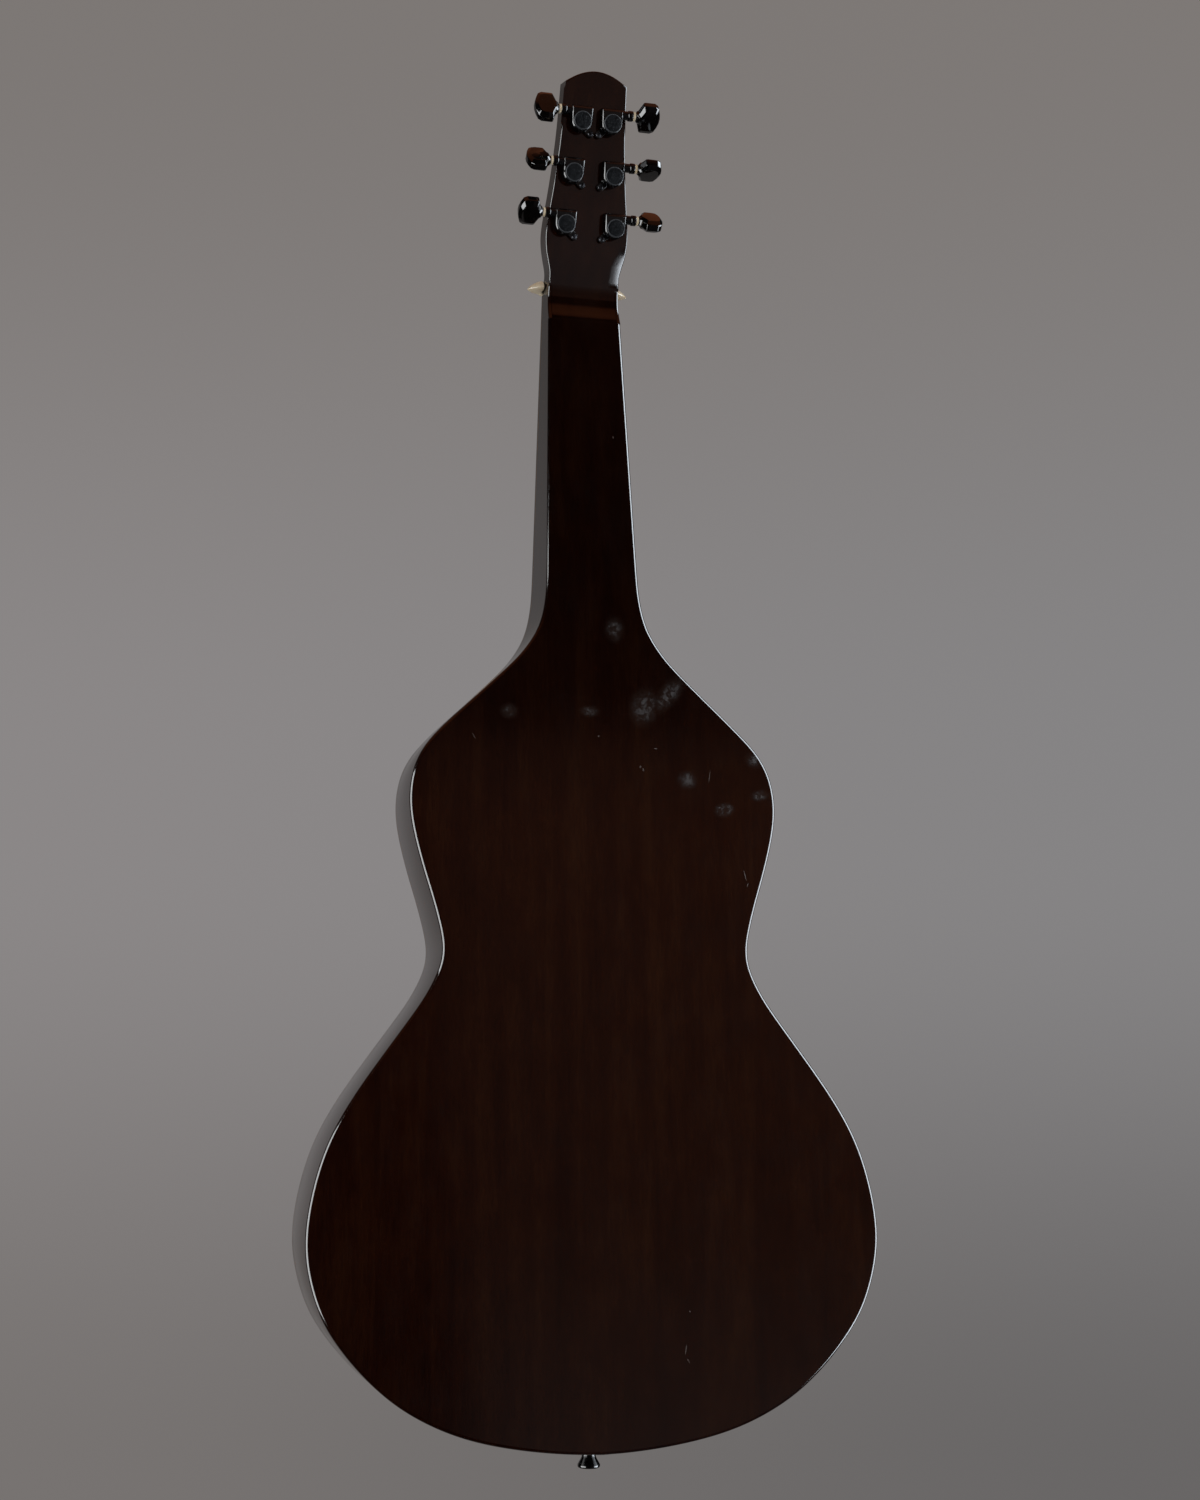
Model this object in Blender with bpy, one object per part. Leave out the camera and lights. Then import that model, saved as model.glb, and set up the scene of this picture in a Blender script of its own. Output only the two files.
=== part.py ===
"""An acoustic lap steel guitar with a hollow square neck, hanging upright by its two top tuners.

Everything is modelled in the guitar's own frame: x across, y towards the strings with the
soundboard's face at y = 0, and z up from the tail. The empty named guitar then moves that frame
so that the point where the guitar hangs, between its two top tuners, is the world's origin.
"""

import math

import bmesh
import bpy
import numpy as np
from mathutils import Matrix, Vector

MM = 0.001

# Clearances
FIT_GAP = 0.3 * MM  # between pieces that are glued, seated or pressed together
RUN_GAP = 0.4 * MM  # between a turning piece and what carries it
CUT_PAST = 1 * MM  # how far a cutter, or a joined root, runs past the surface it meets
LEAST_HALF = 0.3 * MM  # half-width left where an outline closes on its centre line
SLIVER = 0.05 * MM  # sections nearer than this are made one

# The body's outline: distance up from the tail's lowest point line, and half-width there
TAIL_DROP = 1.5 * MM
LOWER_BOUT_AT, LOWER_BOUT_HALF = 132 * MM, 191.8 * MM
WAIST_AT, WAIST_HALF = 316 * MM, 104.3 * MM
UPPER_BOUT_AT, UPPER_BOUT_HALF = 414 * MM, 127 * MM
NECK_JOIN_AT, NECK_JOIN_HALF = 540 * MM, 38.5 * MM
NECK_LOW_AT, NECK_LOW_HALF = 600 * MM, 31.5 * MM
NUT_AT, NUT_HALF = 793 * MM, 25.6 * MM
OUTLINE_STEPS = 3  # curve points between two stations

# Depths from the soundboard's face to the back's outer face
DEPTH_AT_TAIL = 77.3 * MM
DEPTH_AT_BEND = 53.4 * MM
DEPTH_AT_CREASE = 25.4 * MM
BEND_AT = 538.5 * MM
CREASE_AT = 768 * MM  # where the back plate ends and the head block's ramp starts

# Plates and ribs
TOP_THICKNESS = 2.6 * MM
BACK_THICKNESS = 2.5 * MM
SIDE_THICKNESS = 2.4 * MM
SOUNDHOLE_ABOVE_CROSS, SOUNDHOLE_RADIUS = 81 * MM, 47.5 * MM

# Blocks
TAIL_BLOCK_HALF, TAIL_BLOCK_TOP = 32 * MM, 24 * MM
HEAD_BLOCK_START = 735 * MM

# Headstock
HEAD_TILT = math.radians(15)
HEAD_THICKNESS = 18.5 * MM
HEAD_BACK_AT, HEAD_BACK_DEPTH = 795 * MM, 22.3 * MM  # where the headstock's back plane starts
HEAD_HIP_UP, HEAD_HIP_HALF = 32 * MM, 30.4 * MM
HEAD_NECK_UP, HEAD_NECK_HALF = 105 * MM, 23.4 * MM
HEAD_CORNER_UP, HEAD_CORNER_HALF = 141 * MM, 22.3 * MM
HEAD_ARCH_RISE = 9.2 * MM
ARCH_STEPS = 8

# Fretboard and nut
FRETBOARD_PAST_SOUNDHOLE = 3.5 * MM
FRETBOARD_THICKNESS = 5 * MM
FRETBOARD_HALF_LOW, FRETBOARD_HALF_HIGH = 27.2 * MM, 24.6 * MM
NUT_THICKNESS = 6 * MM
NUT_HEIGHT, NUT_CREST_HALF, NUT_FOOT_INSET = 11.5 * MM, 22.4 * MM, 0.6 * MM
NUT_FRONT_EASE, NUT_BACK_FALL = 1.2 * MM, 3.4 * MM
NUT_EAR_REACH = 10.6 * MM
NUT_EAR_GAP = 0.45 * MM  # between an ear and the neck's side
NUT_EAR_FRONT, NUT_EAR_BACK, NUT_EAR_FOOT_Y = 8 * MM, 11 * MM, -1.5 * MM
NUT_EAR_TOP, NUT_EAR_TIP_UP = 10.6 * MM, 3.6 * MM  # over the end of the neck
NUT_CHEEK_FRONT, NUT_CHEEK_UP = 6 * MM, 2.2 * MM  # what joins an ear to the nut

# Bridge
SCALE_LENGTH = 635 * MM
BRIDGE_LENGTH, BRIDGE_WIDTH, BRIDGE_HEIGHT = 152 * MM, 28 * MM, 8 * MM
BRIDGE_FLAT_HALF = 45 * MM
BRIDGE_TIP_HEIGHT, BRIDGE_TIP_WIDTH = 3 * MM, 16 * MM
SADDLE_FROM_BRIDGE_TOP = 7.2 * MM
SADDLE_LENGTH, SADDLE_THICKNESS, SADDLE_HEIGHT = 78 * MM, 3 * MM, 10.7 * MM
SADDLE_SLOT_DEPTH, SADDLE_EASE = 3 * MM, 1.7 * MM
BRIDGE_PLATE_HALF, BRIDGE_PLATE_WIDTH, BRIDGE_PLATE_THICKNESS = 38 * MM, 34 * MM, 2.5 * MM
PIN_BACK_FROM_SADDLE = 15.5 * MM
PIN_RADIUS, PIN_TIP_RADIUS, PIN_HEAD_RADIUS = 2.4 * MM, 2 * MM, 3 * MM
PIN_HEAD_HEIGHT, PIN_LENGTH = 2.8 * MM, 22 * MM

# Braces
BRACE_THICKNESS, BRACE_HEIGHT, BRACE_TIP_HEIGHT, BRACE_END_GAP = 8 * MM, 12 * MM, 4 * MM, 2 * MM
X_BRACE_ABOVE_BRIDGE, X_BRACE_UPPER_REACH, X_BRACE_LOWER_REACH = 68.7 * MM, 108 * MM, 145 * MM
BACK_BRACES_AT = {"back_brace_lower": 112 * MM, "back_brace_upper": 422 * MM}

# Strings, from the thin first to the thick sixth
STRING_DIAMETERS = [0.36 * MM, 0.46 * MM, 0.66 * MM, 0.91 * MM, 1.17 * MM, 1.42 * MM]
STRING_SPACING_AT_NUT, STRING_SPACING_AT_BRIDGE = 8.8 * MM, 10.8 * MM
WINDING_TURNS = 2
LOOP_POINTS = 24
WINDING_GAP = 1.1 * MM  # between neighbouring turns on a post
STRING_TAIL, STRING_EASE = 4 * MM, 1.2 * MM
BALL_RADIUS, BALL_LENGTH, BALL_NECK = 1.5 * MM, 3.2 * MM, 0.8 * MM

# Tuners: u outwards from the post, v up the headstock, n away from its back
POST_ROWS_UP = [41 * MM, 77 * MM, 113 * MM]
POST_ROWS_HALF = [18 * MM, 14.6 * MM, 10.9 * MM]
WORM_UP, WORM_OUT = 7 * MM, 6.7 * MM
WORM_RADIUS, WORM_CORE_RADIUS, WORM_TURNS, WORM_LEAD = 2.1 * MM, 1.5 * MM, 3, 2.1 * MM
WORM_END, WORM_RUN_OUT = 1.2 * MM, 0.3 * MM  # plain shaft past the thread
WORM_SHAFT_RADIUS, WORM_SHAFT_INTO_BUTTON = 1.9 * MM, 8 * MM
GEAR_TEETH, GEAR_THICKNESS, GEAR_TOOTH_DEPTH = 14, 3.6 * MM, 0.7 * MM
HOUSING_HEIGHT, HOUSING_HALF, HOUSING_BEVEL = 9.8 * MM, 7.3 * MM, 0.6 * MM
BARREL_RADIUS = 3.6 * MM  # the housing's round back over the worm
CAP_RADIUS, CAP_HEIGHT, CAP_BEVEL = 6.4 * MM, 1.7 * MM, 0.5 * MM
LUG_IN, LUG_DOWN, LUG_RADIUS, LUG_HEIGHT = 7.9 * MM, 7.5 * MM, 2.5 * MM, 3 * MM
COLLAR_RADIUS, COLLAR_RING_RADIUS, COLLAR_RING_LENGTH, COLLAR_END = 3.1 * MM, 3.6 * MM, 3 * MM, 15 * MM
WASHER_THICKNESS = 2 * MM
POST_RADIUS, POST_WAIST_RADIUS, POST_RISE = 3 * MM, 2.6 * MM, 17.5 * MM
POST_HOLE_RADIUS, POST_HOLE_BELOW_TIP = 0.9 * MM, 2.6 * MM
POST_INTO_GEAR, POST_TIP_BEVEL = 0.5 * MM, 0.6 * MM
POST_WAIST_LOW_ROOM, POST_WAIST_TOP_ROOM, POST_WAIST_EASE = 2.2 * MM, 1.6 * MM, 1.5 * MM
WINDING_START_RISE = 7.5 * MM  # height of the lowest turn over the headstock's face
FERRULE_RADIUS, FERRULE_FLANGE_RADIUS, FERRULE_FLANGE = 4.9 * MM, 6.6 * MM, 1.8 * MM
FERRULE_LENGTH = 12 * MM
BUTTON_HALF_WIDTH, BUTTON_LENGTH, BUTTON_HALF_THICKNESS = 11 * MM, 17.4 * MM, 4.4 * MM
BUTTON_HUB_HALF, BUTTON_FACE_SHARE, BUTTON_EDGE_SHARE = 3.1 * MM, 0.72, 0.5
BUTTON_TURNS = {1: 48, 2: -50, 3: -30, 4: 43, 5: 68, 6: -62}  # degrees, as each was left

# Strap button
STRAP_BUTTON_LENGTH, STRAP_BUTTON_RIM_RADIUS, STRAP_BUTTON_NECK_RADIUS = 13.2 * MM, 7.45 * MM, 4.2 * MM
STRAP_BUTTON_DISH, STRAP_SCREW_RADIUS, STRAP_SCREW_HEAD_RADIUS = 2.4 * MM, 1.9 * MM, 3.6 * MM
STRAP_SCREW_HEAD_HEIGHT, STRAP_SCREW_LENGTH, STRAP_SCREW_POINT = 2 * MM, 30 * MM, 4 * MM

# Counts of sides of round pieces
FINE_SIDES, ROUND_SIDES, MEDIUM_SIDES, COARSE_SIDES, LEAST_SIDES = 40, 18, 14, 10, 8
WORM_STEPS = 4  # sections in one turn of the thread
RAMP_STEPS = 5
HOUSING_FOOT_STEPS, BARREL_STEPS = 10, 3

# Where the other sizes put things
BODY_SLOPE = (DEPTH_AT_TAIL - DEPTH_AT_BEND) / BEND_AT
NECK_SLOPE = (DEPTH_AT_BEND - DEPTH_AT_CREASE) / (CREASE_AT - BEND_AT)
SADDLE_AT = NUT_AT + FIT_GAP + NUT_THICKNESS * 0.3 - SCALE_LENGTH
PIN_AT = SADDLE_AT - PIN_BACK_FROM_SADDLE
THICKEST_STRING = max(STRING_DIAMETERS)
STRING_HOLE_AT = PIN_AT + PIN_HEAD_RADIUS + FIT_GAP + THICKEST_STRING / 2
BRIDGE_TOP_EDGE = SADDLE_AT + SADDLE_FROM_BRIDGE_TOP
X_BRACE_AT = BRIDGE_TOP_EDGE + X_BRACE_ABOVE_BRIDGE
SOUNDHOLE_AT = X_BRACE_AT + SOUNDHOLE_ABOVE_CROSS
FRETBOARD_START = SOUNDHOLE_AT + SOUNDHOLE_RADIUS + FRETBOARD_PAST_SOUNDHOLE
SADDLE_CREST = BRIDGE_HEIGHT + FIT_GAP - SADDLE_SLOT_DEPTH + FIT_GAP + SADDLE_HEIGHT
NUT_CREST = FIT_GAP + NUT_HEIGHT
HEAD_BLOCK_END = NUT_AT + FIT_GAP
GEAR_RADIUS = WORM_UP - WORM_RADIUS - FIT_GAP
HEAD_HOLE_RADIUS = FERRULE_RADIUS + FIT_GAP
BUTTON_START = COLLAR_END + WASHER_THICKNESS
STRAP_BUTTON_DEPTH = DEPTH_AT_TAIL / 2


def head_frame(across, up):
    """The frame of a tuner: its origin on the headstock's back, x across, y up it, z away from it."""
    upward = Vector((0, -math.sin(HEAD_TILT), math.cos(HEAD_TILT)))
    outward = Vector((0, -math.cos(HEAD_TILT), -math.sin(HEAD_TILT)))
    start = Vector((across, -HEAD_BACK_DEPTH, HEAD_BACK_AT)) + upward * up
    frame = Matrix.Identity(4)
    for column, axis in enumerate((Vector((1, 0, 0)), upward, outward, start)):
        for row in range(3):
            frame[row][column] = axis[row]
    return frame


HANG_POINT = head_frame(0, POST_ROWS_UP[-1] + WORM_UP) @ Vector((0, 0, WORM_OUT))


# Scene and material helpers


def clear_scene():
    for obj in list(bpy.data.objects):
        bpy.data.objects.remove(obj, do_unlink=True)


def material(name, colour, roughness, metallic=0.0):
    found = bpy.data.materials.get(name)
    if found:
        return found
    made = bpy.data.materials.new(name)
    made.use_nodes = True
    shader = made.node_tree.nodes["Principled BSDF"]
    shader.inputs["Base Color"].default_value = (*colour, 1)
    shader.inputs["Roughness"].default_value = roughness
    shader.inputs["Metallic"].default_value = metallic
    return made


def stained_wood():
    return material("stained_wood", (0.055, 0.018, 0.012), 0.3)


def spruce():
    return material("bare_spruce", (0.62, 0.45, 0.25), 0.6)


def ebony():
    return material("dark_fretwood", (0.02, 0.014, 0.012), 0.45)


def bone():
    return material("cream_bone", (0.82, 0.72, 0.54), 0.4)


def black_metal():
    return material("black_metal", (0.012, 0.012, 0.014), 0.25, 0.7)


def black_plastic():
    return material("black_plastic", (0.01, 0.008, 0.008), 0.12)


def steel():
    return material("bright_steel", (0.55, 0.55, 0.57), 0.3, 1.0)


def add(name, mesh, finish, frame):
    """A named object with this mesh and finish, under the empty that holds its frame."""
    obj = bpy.data.objects.new(name, mesh)
    bpy.context.scene.collection.objects.link(obj)
    if not mesh.materials:
        mesh.materials.append(finish)
    obj.parent = frame
    return obj


def add_empty(name, matrix, parent=None):
    empty = bpy.data.objects.new(name, None)
    bpy.context.scene.collection.objects.link(empty)
    empty.parent = parent
    empty.matrix_local = matrix
    return empty


# Mesh helpers


def finish_mesh(bm, name, smooth_angle=None):
    """Closes the mesh's making: faces point out, and round pieces shade smooth up to an angle."""
    bmesh.ops.recalc_face_normals(bm, faces=bm.faces)
    mesh = bpy.data.meshes.new(name)
    bm.to_mesh(mesh)
    bm.free()
    if smooth_angle:
        mesh.shade_smooth()
        mesh.set_sharp_from_angle(angle=math.radians(smooth_angle))
    return mesh


def ladder(sections, name, smooth_angle=None):
    """A closed solid through a row of sections that each have as many points."""
    bm = bmesh.new()
    rings = [[bm.verts.new(point) for point in section] for section in sections]
    for low, high in zip(rings, rings[1:]):
        for i in range(len(low)):
            j = (i + 1) % len(low)
            bm.faces.new((low[i], low[j], high[j], high[i]))
    bm.faces.new(rings[0])
    bm.faces.new(rings[-1])
    return finish_mesh(bm, name, smooth_angle)


def turned(profile, sides, name, smooth_angle=35, axis="Z"):
    """A turned solid: the profile's (radius, height) points, from one end on the axis to the other."""
    bm = bmesh.new()
    rings = []
    for radius, height in profile:
        if radius < 1e-7:
            rings.append([bm.verts.new((0, 0, height))])
            continue
        angles = [2 * math.pi * k / sides for k in range(sides)]
        rings.append([bm.verts.new((radius * math.cos(a), radius * math.sin(a), height)) for a in angles])
    for low, high in zip(rings, rings[1:]):
        for i in range(sides):
            j = (i + 1) % sides
            if len(low) == 1:
                bm.faces.new((low[0], high[j], high[i]))
            elif len(high) == 1:
                bm.faces.new((low[i], low[j], high[0]))
            else:
                bm.faces.new((low[i], low[j], high[j], high[i]))
    if axis != "Z":
        turn = Matrix.Rotation(math.pi / 2, 3, "Y") if axis == "X" else Matrix.Rotation(-math.pi / 2, 3, "X")
        bmesh.ops.rotate(bm, matrix=turn, verts=bm.verts)
    return finish_mesh(bm, name, smooth_angle)


def tube(profile, sides, name):
    """A turned ring: its profile is a closed loop of (radius, height) points off the axis."""
    bm = bmesh.new()
    rings = []
    for k in range(sides):
        angle = 2 * math.pi * k / sides
        rings.append([bm.verts.new((r * math.cos(angle), r * math.sin(angle), h)) for r, h in profile])
    for here, there in zip(rings, rings[1:] + rings[:1]):
        for i in range(len(profile)):
            j = (i + 1) % len(profile)
            bm.faces.new((here[i], here[j], there[j], there[i]))
    return finish_mesh(bm, name, 35)


def box(low, high, name="box"):
    bm = bmesh.new()
    bmesh.ops.create_cube(bm, size=1)
    low, high = Vector(low), Vector(high)
    for vert in bm.verts:
        vert.co = Vector(c * s for c, s in zip(vert.co, high - low)) + (low + high) / 2
    return finish_mesh(bm, name)


def cylinder(radius, low, high, sides, name="cylinder", axis="Z", centre=(0, 0, 0)):
    mesh = turned([(0, low), (radius, low), (radius, high), (0, high)], sides, name, axis=axis)
    mesh.transform(Matrix.Translation(centre))
    return mesh


def combine(base, steps, name):
    """The base mesh after Boolean steps, each an operation and the mesh it takes."""
    obj = bpy.data.objects.new(name, base)
    bpy.context.scene.collection.objects.link(obj)
    helpers = []
    for operation, mesh in steps:
        helper = bpy.data.objects.new(name + "_cutter", mesh)
        helper.hide_render = True
        helper.display_type = "WIRE"
        bpy.context.scene.collection.objects.link(helper)
        helpers.append(helper)
        modifier = obj.modifiers.new(operation.lower(), "BOOLEAN")
        modifier.operation = operation
        modifier.object = helper
        modifier.solver = "EXACT"
    bpy.context.view_layer.update()
    made = bpy.data.meshes.new_from_object(obj.evaluated_get(bpy.context.evaluated_depsgraph_get()))
    made.name = name
    for helper in [obj, *helpers]:
        bpy.data.objects.remove(helper, do_unlink=True)
    made.set_sharp_from_angle(angle=math.radians(35))
    return made


# The outline


def smooth_curve(points, steps, mirror_start=False):
    """A centripetal Catmull-Rom curve through the points."""
    given = [np.array(point, float) for point in points]
    before = given[1] * (1, -1) if mirror_start else 2 * given[0] - given[1]
    after = 2 * given[-1] - given[-2]
    row = [before, *given, after]
    found = []
    for a, b, c, d in zip(row, row[1:], row[2:], row[3:]):
        knots = [0.0]
        for here, there in ((a, b), (b, c), (c, d)):
            knots.append(knots[-1] + math.sqrt(np.linalg.norm(there - here)))
        k0, k1, k2, k3 = knots
        for t in np.linspace(k1, k2, steps, endpoint=False):
            ab = (a * (k1 - t) + b * (t - k0)) / (k1 - k0)
            bc = (b * (k2 - t) + c * (t - k1)) / (k2 - k1)
            cd = (c * (k3 - t) + d * (t - k2)) / (k3 - k2)
            abc = (ab * (k2 - t) + bc * (t - k0)) / (k2 - k0)
            bcd = (bc * (k3 - t) + cd * (t - k1)) / (k3 - k1)
            found.append((abc * (k2 - t) + bcd * (t - k1)) / (k2 - k1))
    found.append(given[-1])
    return np.array(found)


def body_stations():
    """(up, half-width) stations, each bout's shape given by shares of its own main sizes."""
    lower, waist, upper = LOWER_BOUT_HALF, WAIST_HALF, UPPER_BOUT_HALF
    taper = lower - waist
    shoulder = upper - NECK_JOIN_HALF
    rise = LOWER_BOUT_AT + TAIL_DROP
    fall = WAIST_AT - LOWER_BOUT_AT
    climb = UPPER_BOUT_AT - WAIST_AT
    slope = NECK_JOIN_AT - UPPER_BOUT_AT
    stations = [
        (-TAIL_DROP, 0),
        (rise * 0.0434 - TAIL_DROP, lower * 0.3128),
        (rise * 0.131 - TAIL_DROP, lower * 0.532),
        (rise * 0.296 - TAIL_DROP, lower * 0.73),
        (rise * 0.58 - TAIL_DROP, lower * 0.91),
        (rise * 0.79 - TAIL_DROP, lower * 0.975),
        (LOWER_BOUT_AT, lower),
        (LOWER_BOUT_AT + fall * 0.174, waist + taper * 0.957),
        (LOWER_BOUT_AT + fall * 0.348, waist + taper * 0.842),
        (LOWER_BOUT_AT + fall * 0.511, waist + taper * 0.648),
        (LOWER_BOUT_AT + fall * 0.707, waist + taper * 0.351),
        (LOWER_BOUT_AT + fall * 0.859, waist + taper * 0.122),
        (WAIST_AT, waist),
        (WAIST_AT + climb * 0.286, waist + (upper - waist) * 0.207),
        (WAIST_AT + climb * 0.653, waist + (upper - waist) * 0.69),
        (UPPER_BOUT_AT, upper),
        (UPPER_BOUT_AT + slope * 0.206, upper - shoulder * 0.034),
        (UPPER_BOUT_AT + slope * 0.365, upper - shoulder * 0.16),
        (UPPER_BOUT_AT + slope * 0.603, upper - shoulder * 0.508),
        (UPPER_BOUT_AT + slope * 0.825, upper - shoulder * 0.836),
        (NECK_JOIN_AT, NECK_JOIN_HALF),
        (NECK_JOIN_AT + (NECK_LOW_AT - NECK_JOIN_AT) * 0.4, NECK_LOW_HALF + 1.5 * MM),
        (NECK_LOW_AT, NECK_LOW_HALF),
        (NUT_AT, NUT_HALF),
    ]
    return stations


OUTLINE = smooth_curve(body_stations(), OUTLINE_STEPS, mirror_start=True)


def half_width(up):
    return float(np.interp(up, OUTLINE[:, 0], OUTLINE[:, 1]))


def ramp_curve(steps=RAMP_STEPS):
    """(up, depth) of the head block's ramp and of the hollow where it meets the headstock's back."""
    ease = (HEAD_BACK_AT - CREASE_AT) * 0.4
    a = Vector((CREASE_AT + FIT_GAP, DEPTH_AT_CREASE))
    d = Vector((HEAD_BACK_AT, HEAD_BACK_DEPTH))
    b = a + Vector((ease, -ease * math.tan(math.radians(26))))
    c = d - Vector((ease, ease * math.tan(HEAD_TILT)))
    found = []
    for k in range(steps + 1):
        t = k / steps
        found.append(a * (1 - t) ** 3 + b * 3 * t * (1 - t) ** 2 + c * 3 * t**2 * (1 - t) + d * t**3)
    return found


RAMP = ramp_curve()


def depth_at(up):
    """Depth of the back's outer surface under the soundboard's face."""
    if up <= BEND_AT:
        return DEPTH_AT_TAIL - BODY_SLOPE * up
    if up <= CREASE_AT:
        return DEPTH_AT_BEND - NECK_SLOPE * (up - BEND_AT)
    return float(np.interp(up, [point[0] for point in RAMP], [point[1] for point in RAMP]))


def outline_to(end):
    """Outline points from the tail's centre up to the given height, on the +x side, as (x, up)."""
    stops = [BEND_AT, HEAD_BLOCK_START, CREASE_AT, CREASE_AT + FIT_GAP]
    stops += [point[0] for point in RAMP[1:-1]]
    ups = sorted({*OUTLINE[:, 0], *stops})
    # Two cuts that nearly meet would leave a sliver between them.
    kept = [u for u, after in zip(ups, ups[1:]) if after - u > SLIVER and u < end - SLIVER]
    return [(half_width(up), up) for up in kept] + [(half_width(end), end)]


def moved_in(points, distance):
    """The outline moved inwards, square to itself."""
    row = [(-points[1][0], points[1][1]), *points]
    row.append((2 * points[-1][0] - points[-2][0], 2 * points[-1][1] - points[-2][1]))
    found = []
    for before, here, after in zip(row, row[1:], row[2:]):
        along = Vector((after[0] - before[0], after[1] - before[1])).normalized()
        found.append((here[0] - along.y * distance, here[1] + along.x * distance))
    return found


# Body pieces


def plate(end, near, far, name):
    """A plate with the guitar's outline up to a height, between two surfaces given by functions."""
    sections = []
    for x, up in outline_to(end):
        half = max(x, LEAST_HALF)
        y0, y1 = near(up), far(up)
        sections.append([(-half, y0, up), (half, y0, up), (half, y1, up), (-half, y1, up)])
    return ladder(sections, name)


def string_cutters(low, high):
    """One cutter for each pin's hole and the slot in front of it that its string goes down."""
    cutters = []
    width = THICKEST_STRING / 2 + RUN_GAP
    front = STRING_HOLE_AT + THICKEST_STRING / 2 + 4 * FIT_GAP
    for number in range(1, 7):
        x = string_x(number, STRING_SPACING_AT_BRIDGE)
        hole = cylinder(PIN_RADIUS + FIT_GAP, low, high, COARSE_SIDES, axis="Y", centre=(x, 0, PIN_AT))
        slot = box((x - width, low, PIN_AT), (x + width, high, front))
        cutters.append(combine(hole, [("UNION", slot)], "string_hole"))
    return cutters


def string_x(number, spacing):
    return (number - 3.5) * spacing


def make_soundboard(frame):
    mesh = plate(NUT_AT, lambda up: 0.0, lambda up: -TOP_THICKNESS, "soundboard")
    centre = (0, 0, SOUNDHOLE_AT)
    hole = cylinder(SOUNDHOLE_RADIUS, -2 * TOP_THICKNESS, TOP_THICKNESS, FINE_SIDES, axis="Y", centre=centre)
    steps = [("DIFFERENCE", hole)]
    steps += [("DIFFERENCE", cutter) for cutter in string_cutters(-2 * TOP_THICKNESS, TOP_THICKNESS)]
    add("soundboard", combine(mesh, steps, "soundboard"), spruce(), frame)


def make_back(frame):
    def inner(up):
        return BACK_THICKNESS - depth_at(up)

    mesh = plate(CREASE_AT, inner, lambda up: -depth_at(up), "back_plate")
    add("back_plate", mesh, stained_wood(), frame)


def side_back(up):
    """Where a side's back edge lies: on the back plate, and past its end flush with the ramp."""
    if up <= CREASE_AT + FIT_GAP / 2:
        return BACK_THICKNESS + FIT_GAP - depth_at(up)
    return -depth_at(up)


def make_side(name, direction, frame):
    outer = outline_to(NUT_AT)
    outer[0] = (FIT_GAP / 2, outer[0][1])
    inner = moved_in(outer, SIDE_THICKNESS)
    inner[0] = (FIT_GAP / 2, outer[0][1] + SIDE_THICKNESS)
    front = -TOP_THICKNESS - FIT_GAP
    sections = []
    for (x0, up0), (x1, up1) in zip(outer, inner):
        x0, x1 = x0 * direction, x1 * direction
        back0 = side_back(up0)
        back1 = side_back(min(up1, up0) if up0 <= CREASE_AT else up0)
        sections.append([(x0, front, up0), (x0, back0, up0), (x1, back1, up1), (x1, front, up1)])
    mesh = ladder(sections, name, 30)
    add(name, combine(mesh, [("DIFFERENCE", screw_hole())], name), stained_wood(), frame)


def screw_hole():
    centre = (0, -STRAP_BUTTON_DEPTH, 0)
    reach = STRAP_SCREW_LENGTH
    return cylinder(STRAP_SCREW_RADIUS + FIT_GAP, -reach, reach, COARSE_SIDES, centre=centre)


def make_tail_block(frame):
    inner = moved_in(outline_to(LOWER_BOUT_AT), SIDE_THICKNESS + FIT_GAP)
    inner[0] = (0, inner[0][1])
    lower = [(x, up) for x, up in inner if x < TAIL_BLOCK_HALF]
    xs, ups = [x for x, _ in inner], [up for _, up in inner]
    lower.append((TAIL_BLOCK_HALF, float(np.interp(TAIL_BLOCK_HALF, xs, ups))))
    front = -TOP_THICKNESS - FIT_GAP
    sections = []
    for x, up in [(-x, up) for x, up in lower[:0:-1]] + lower:
        low = BACK_THICKNESS + FIT_GAP - depth_at(up)
        high = BACK_THICKNESS + FIT_GAP - depth_at(TAIL_BLOCK_TOP)
        sections.append([(x, front, up), (x, low, up), (x, high, TAIL_BLOCK_TOP), (x, front, TAIL_BLOCK_TOP)])
    mesh = ladder(sections, "tail_block")
    add("tail_block", combine(mesh, [("DIFFERENCE", screw_hole())], "tail_block"), spruce(), frame)


def head_half_widths():
    """(up the headstock, half-width) from the nut to the corners, then round the arch to its top."""
    hip = HEAD_HIP_HALF - NUT_HALF
    fall = HEAD_HIP_HALF - HEAD_NECK_HALF
    stations = [
        (0, NUT_HALF),
        (HEAD_HIP_UP * 0.24, NUT_HALF),
        (HEAD_HIP_UP * 0.5, NUT_HALF + hip * 0.38),
        (HEAD_HIP_UP * 0.75, NUT_HALF + hip * 0.8),
        (HEAD_HIP_UP, HEAD_HIP_HALF),
        (HEAD_HIP_UP * 1.25, HEAD_HIP_HALF - 0.5 * MM),
        (HEAD_HIP_UP + (HEAD_NECK_UP - HEAD_HIP_UP) * 0.5, HEAD_NECK_HALF + fall * 0.43),
        (HEAD_NECK_UP, HEAD_NECK_HALF),
        (HEAD_CORNER_UP, HEAD_CORNER_HALF),
    ]
    found = [tuple(point) for point in smooth_curve(stations, 3)]
    radius = (HEAD_CORNER_HALF**2 + HEAD_ARCH_RISE**2) / (2 * HEAD_ARCH_RISE)
    spread = math.asin(HEAD_CORNER_HALF / radius)
    centre = HEAD_CORNER_UP + HEAD_ARCH_RISE - radius
    for k in range(1, ARCH_STEPS + 1):
        angle = spread * (1 - k / ARCH_STEPS)
        found.append((centre + radius * math.cos(angle), max(radius * math.sin(angle), LEAST_HALF)))
    return found


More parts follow.
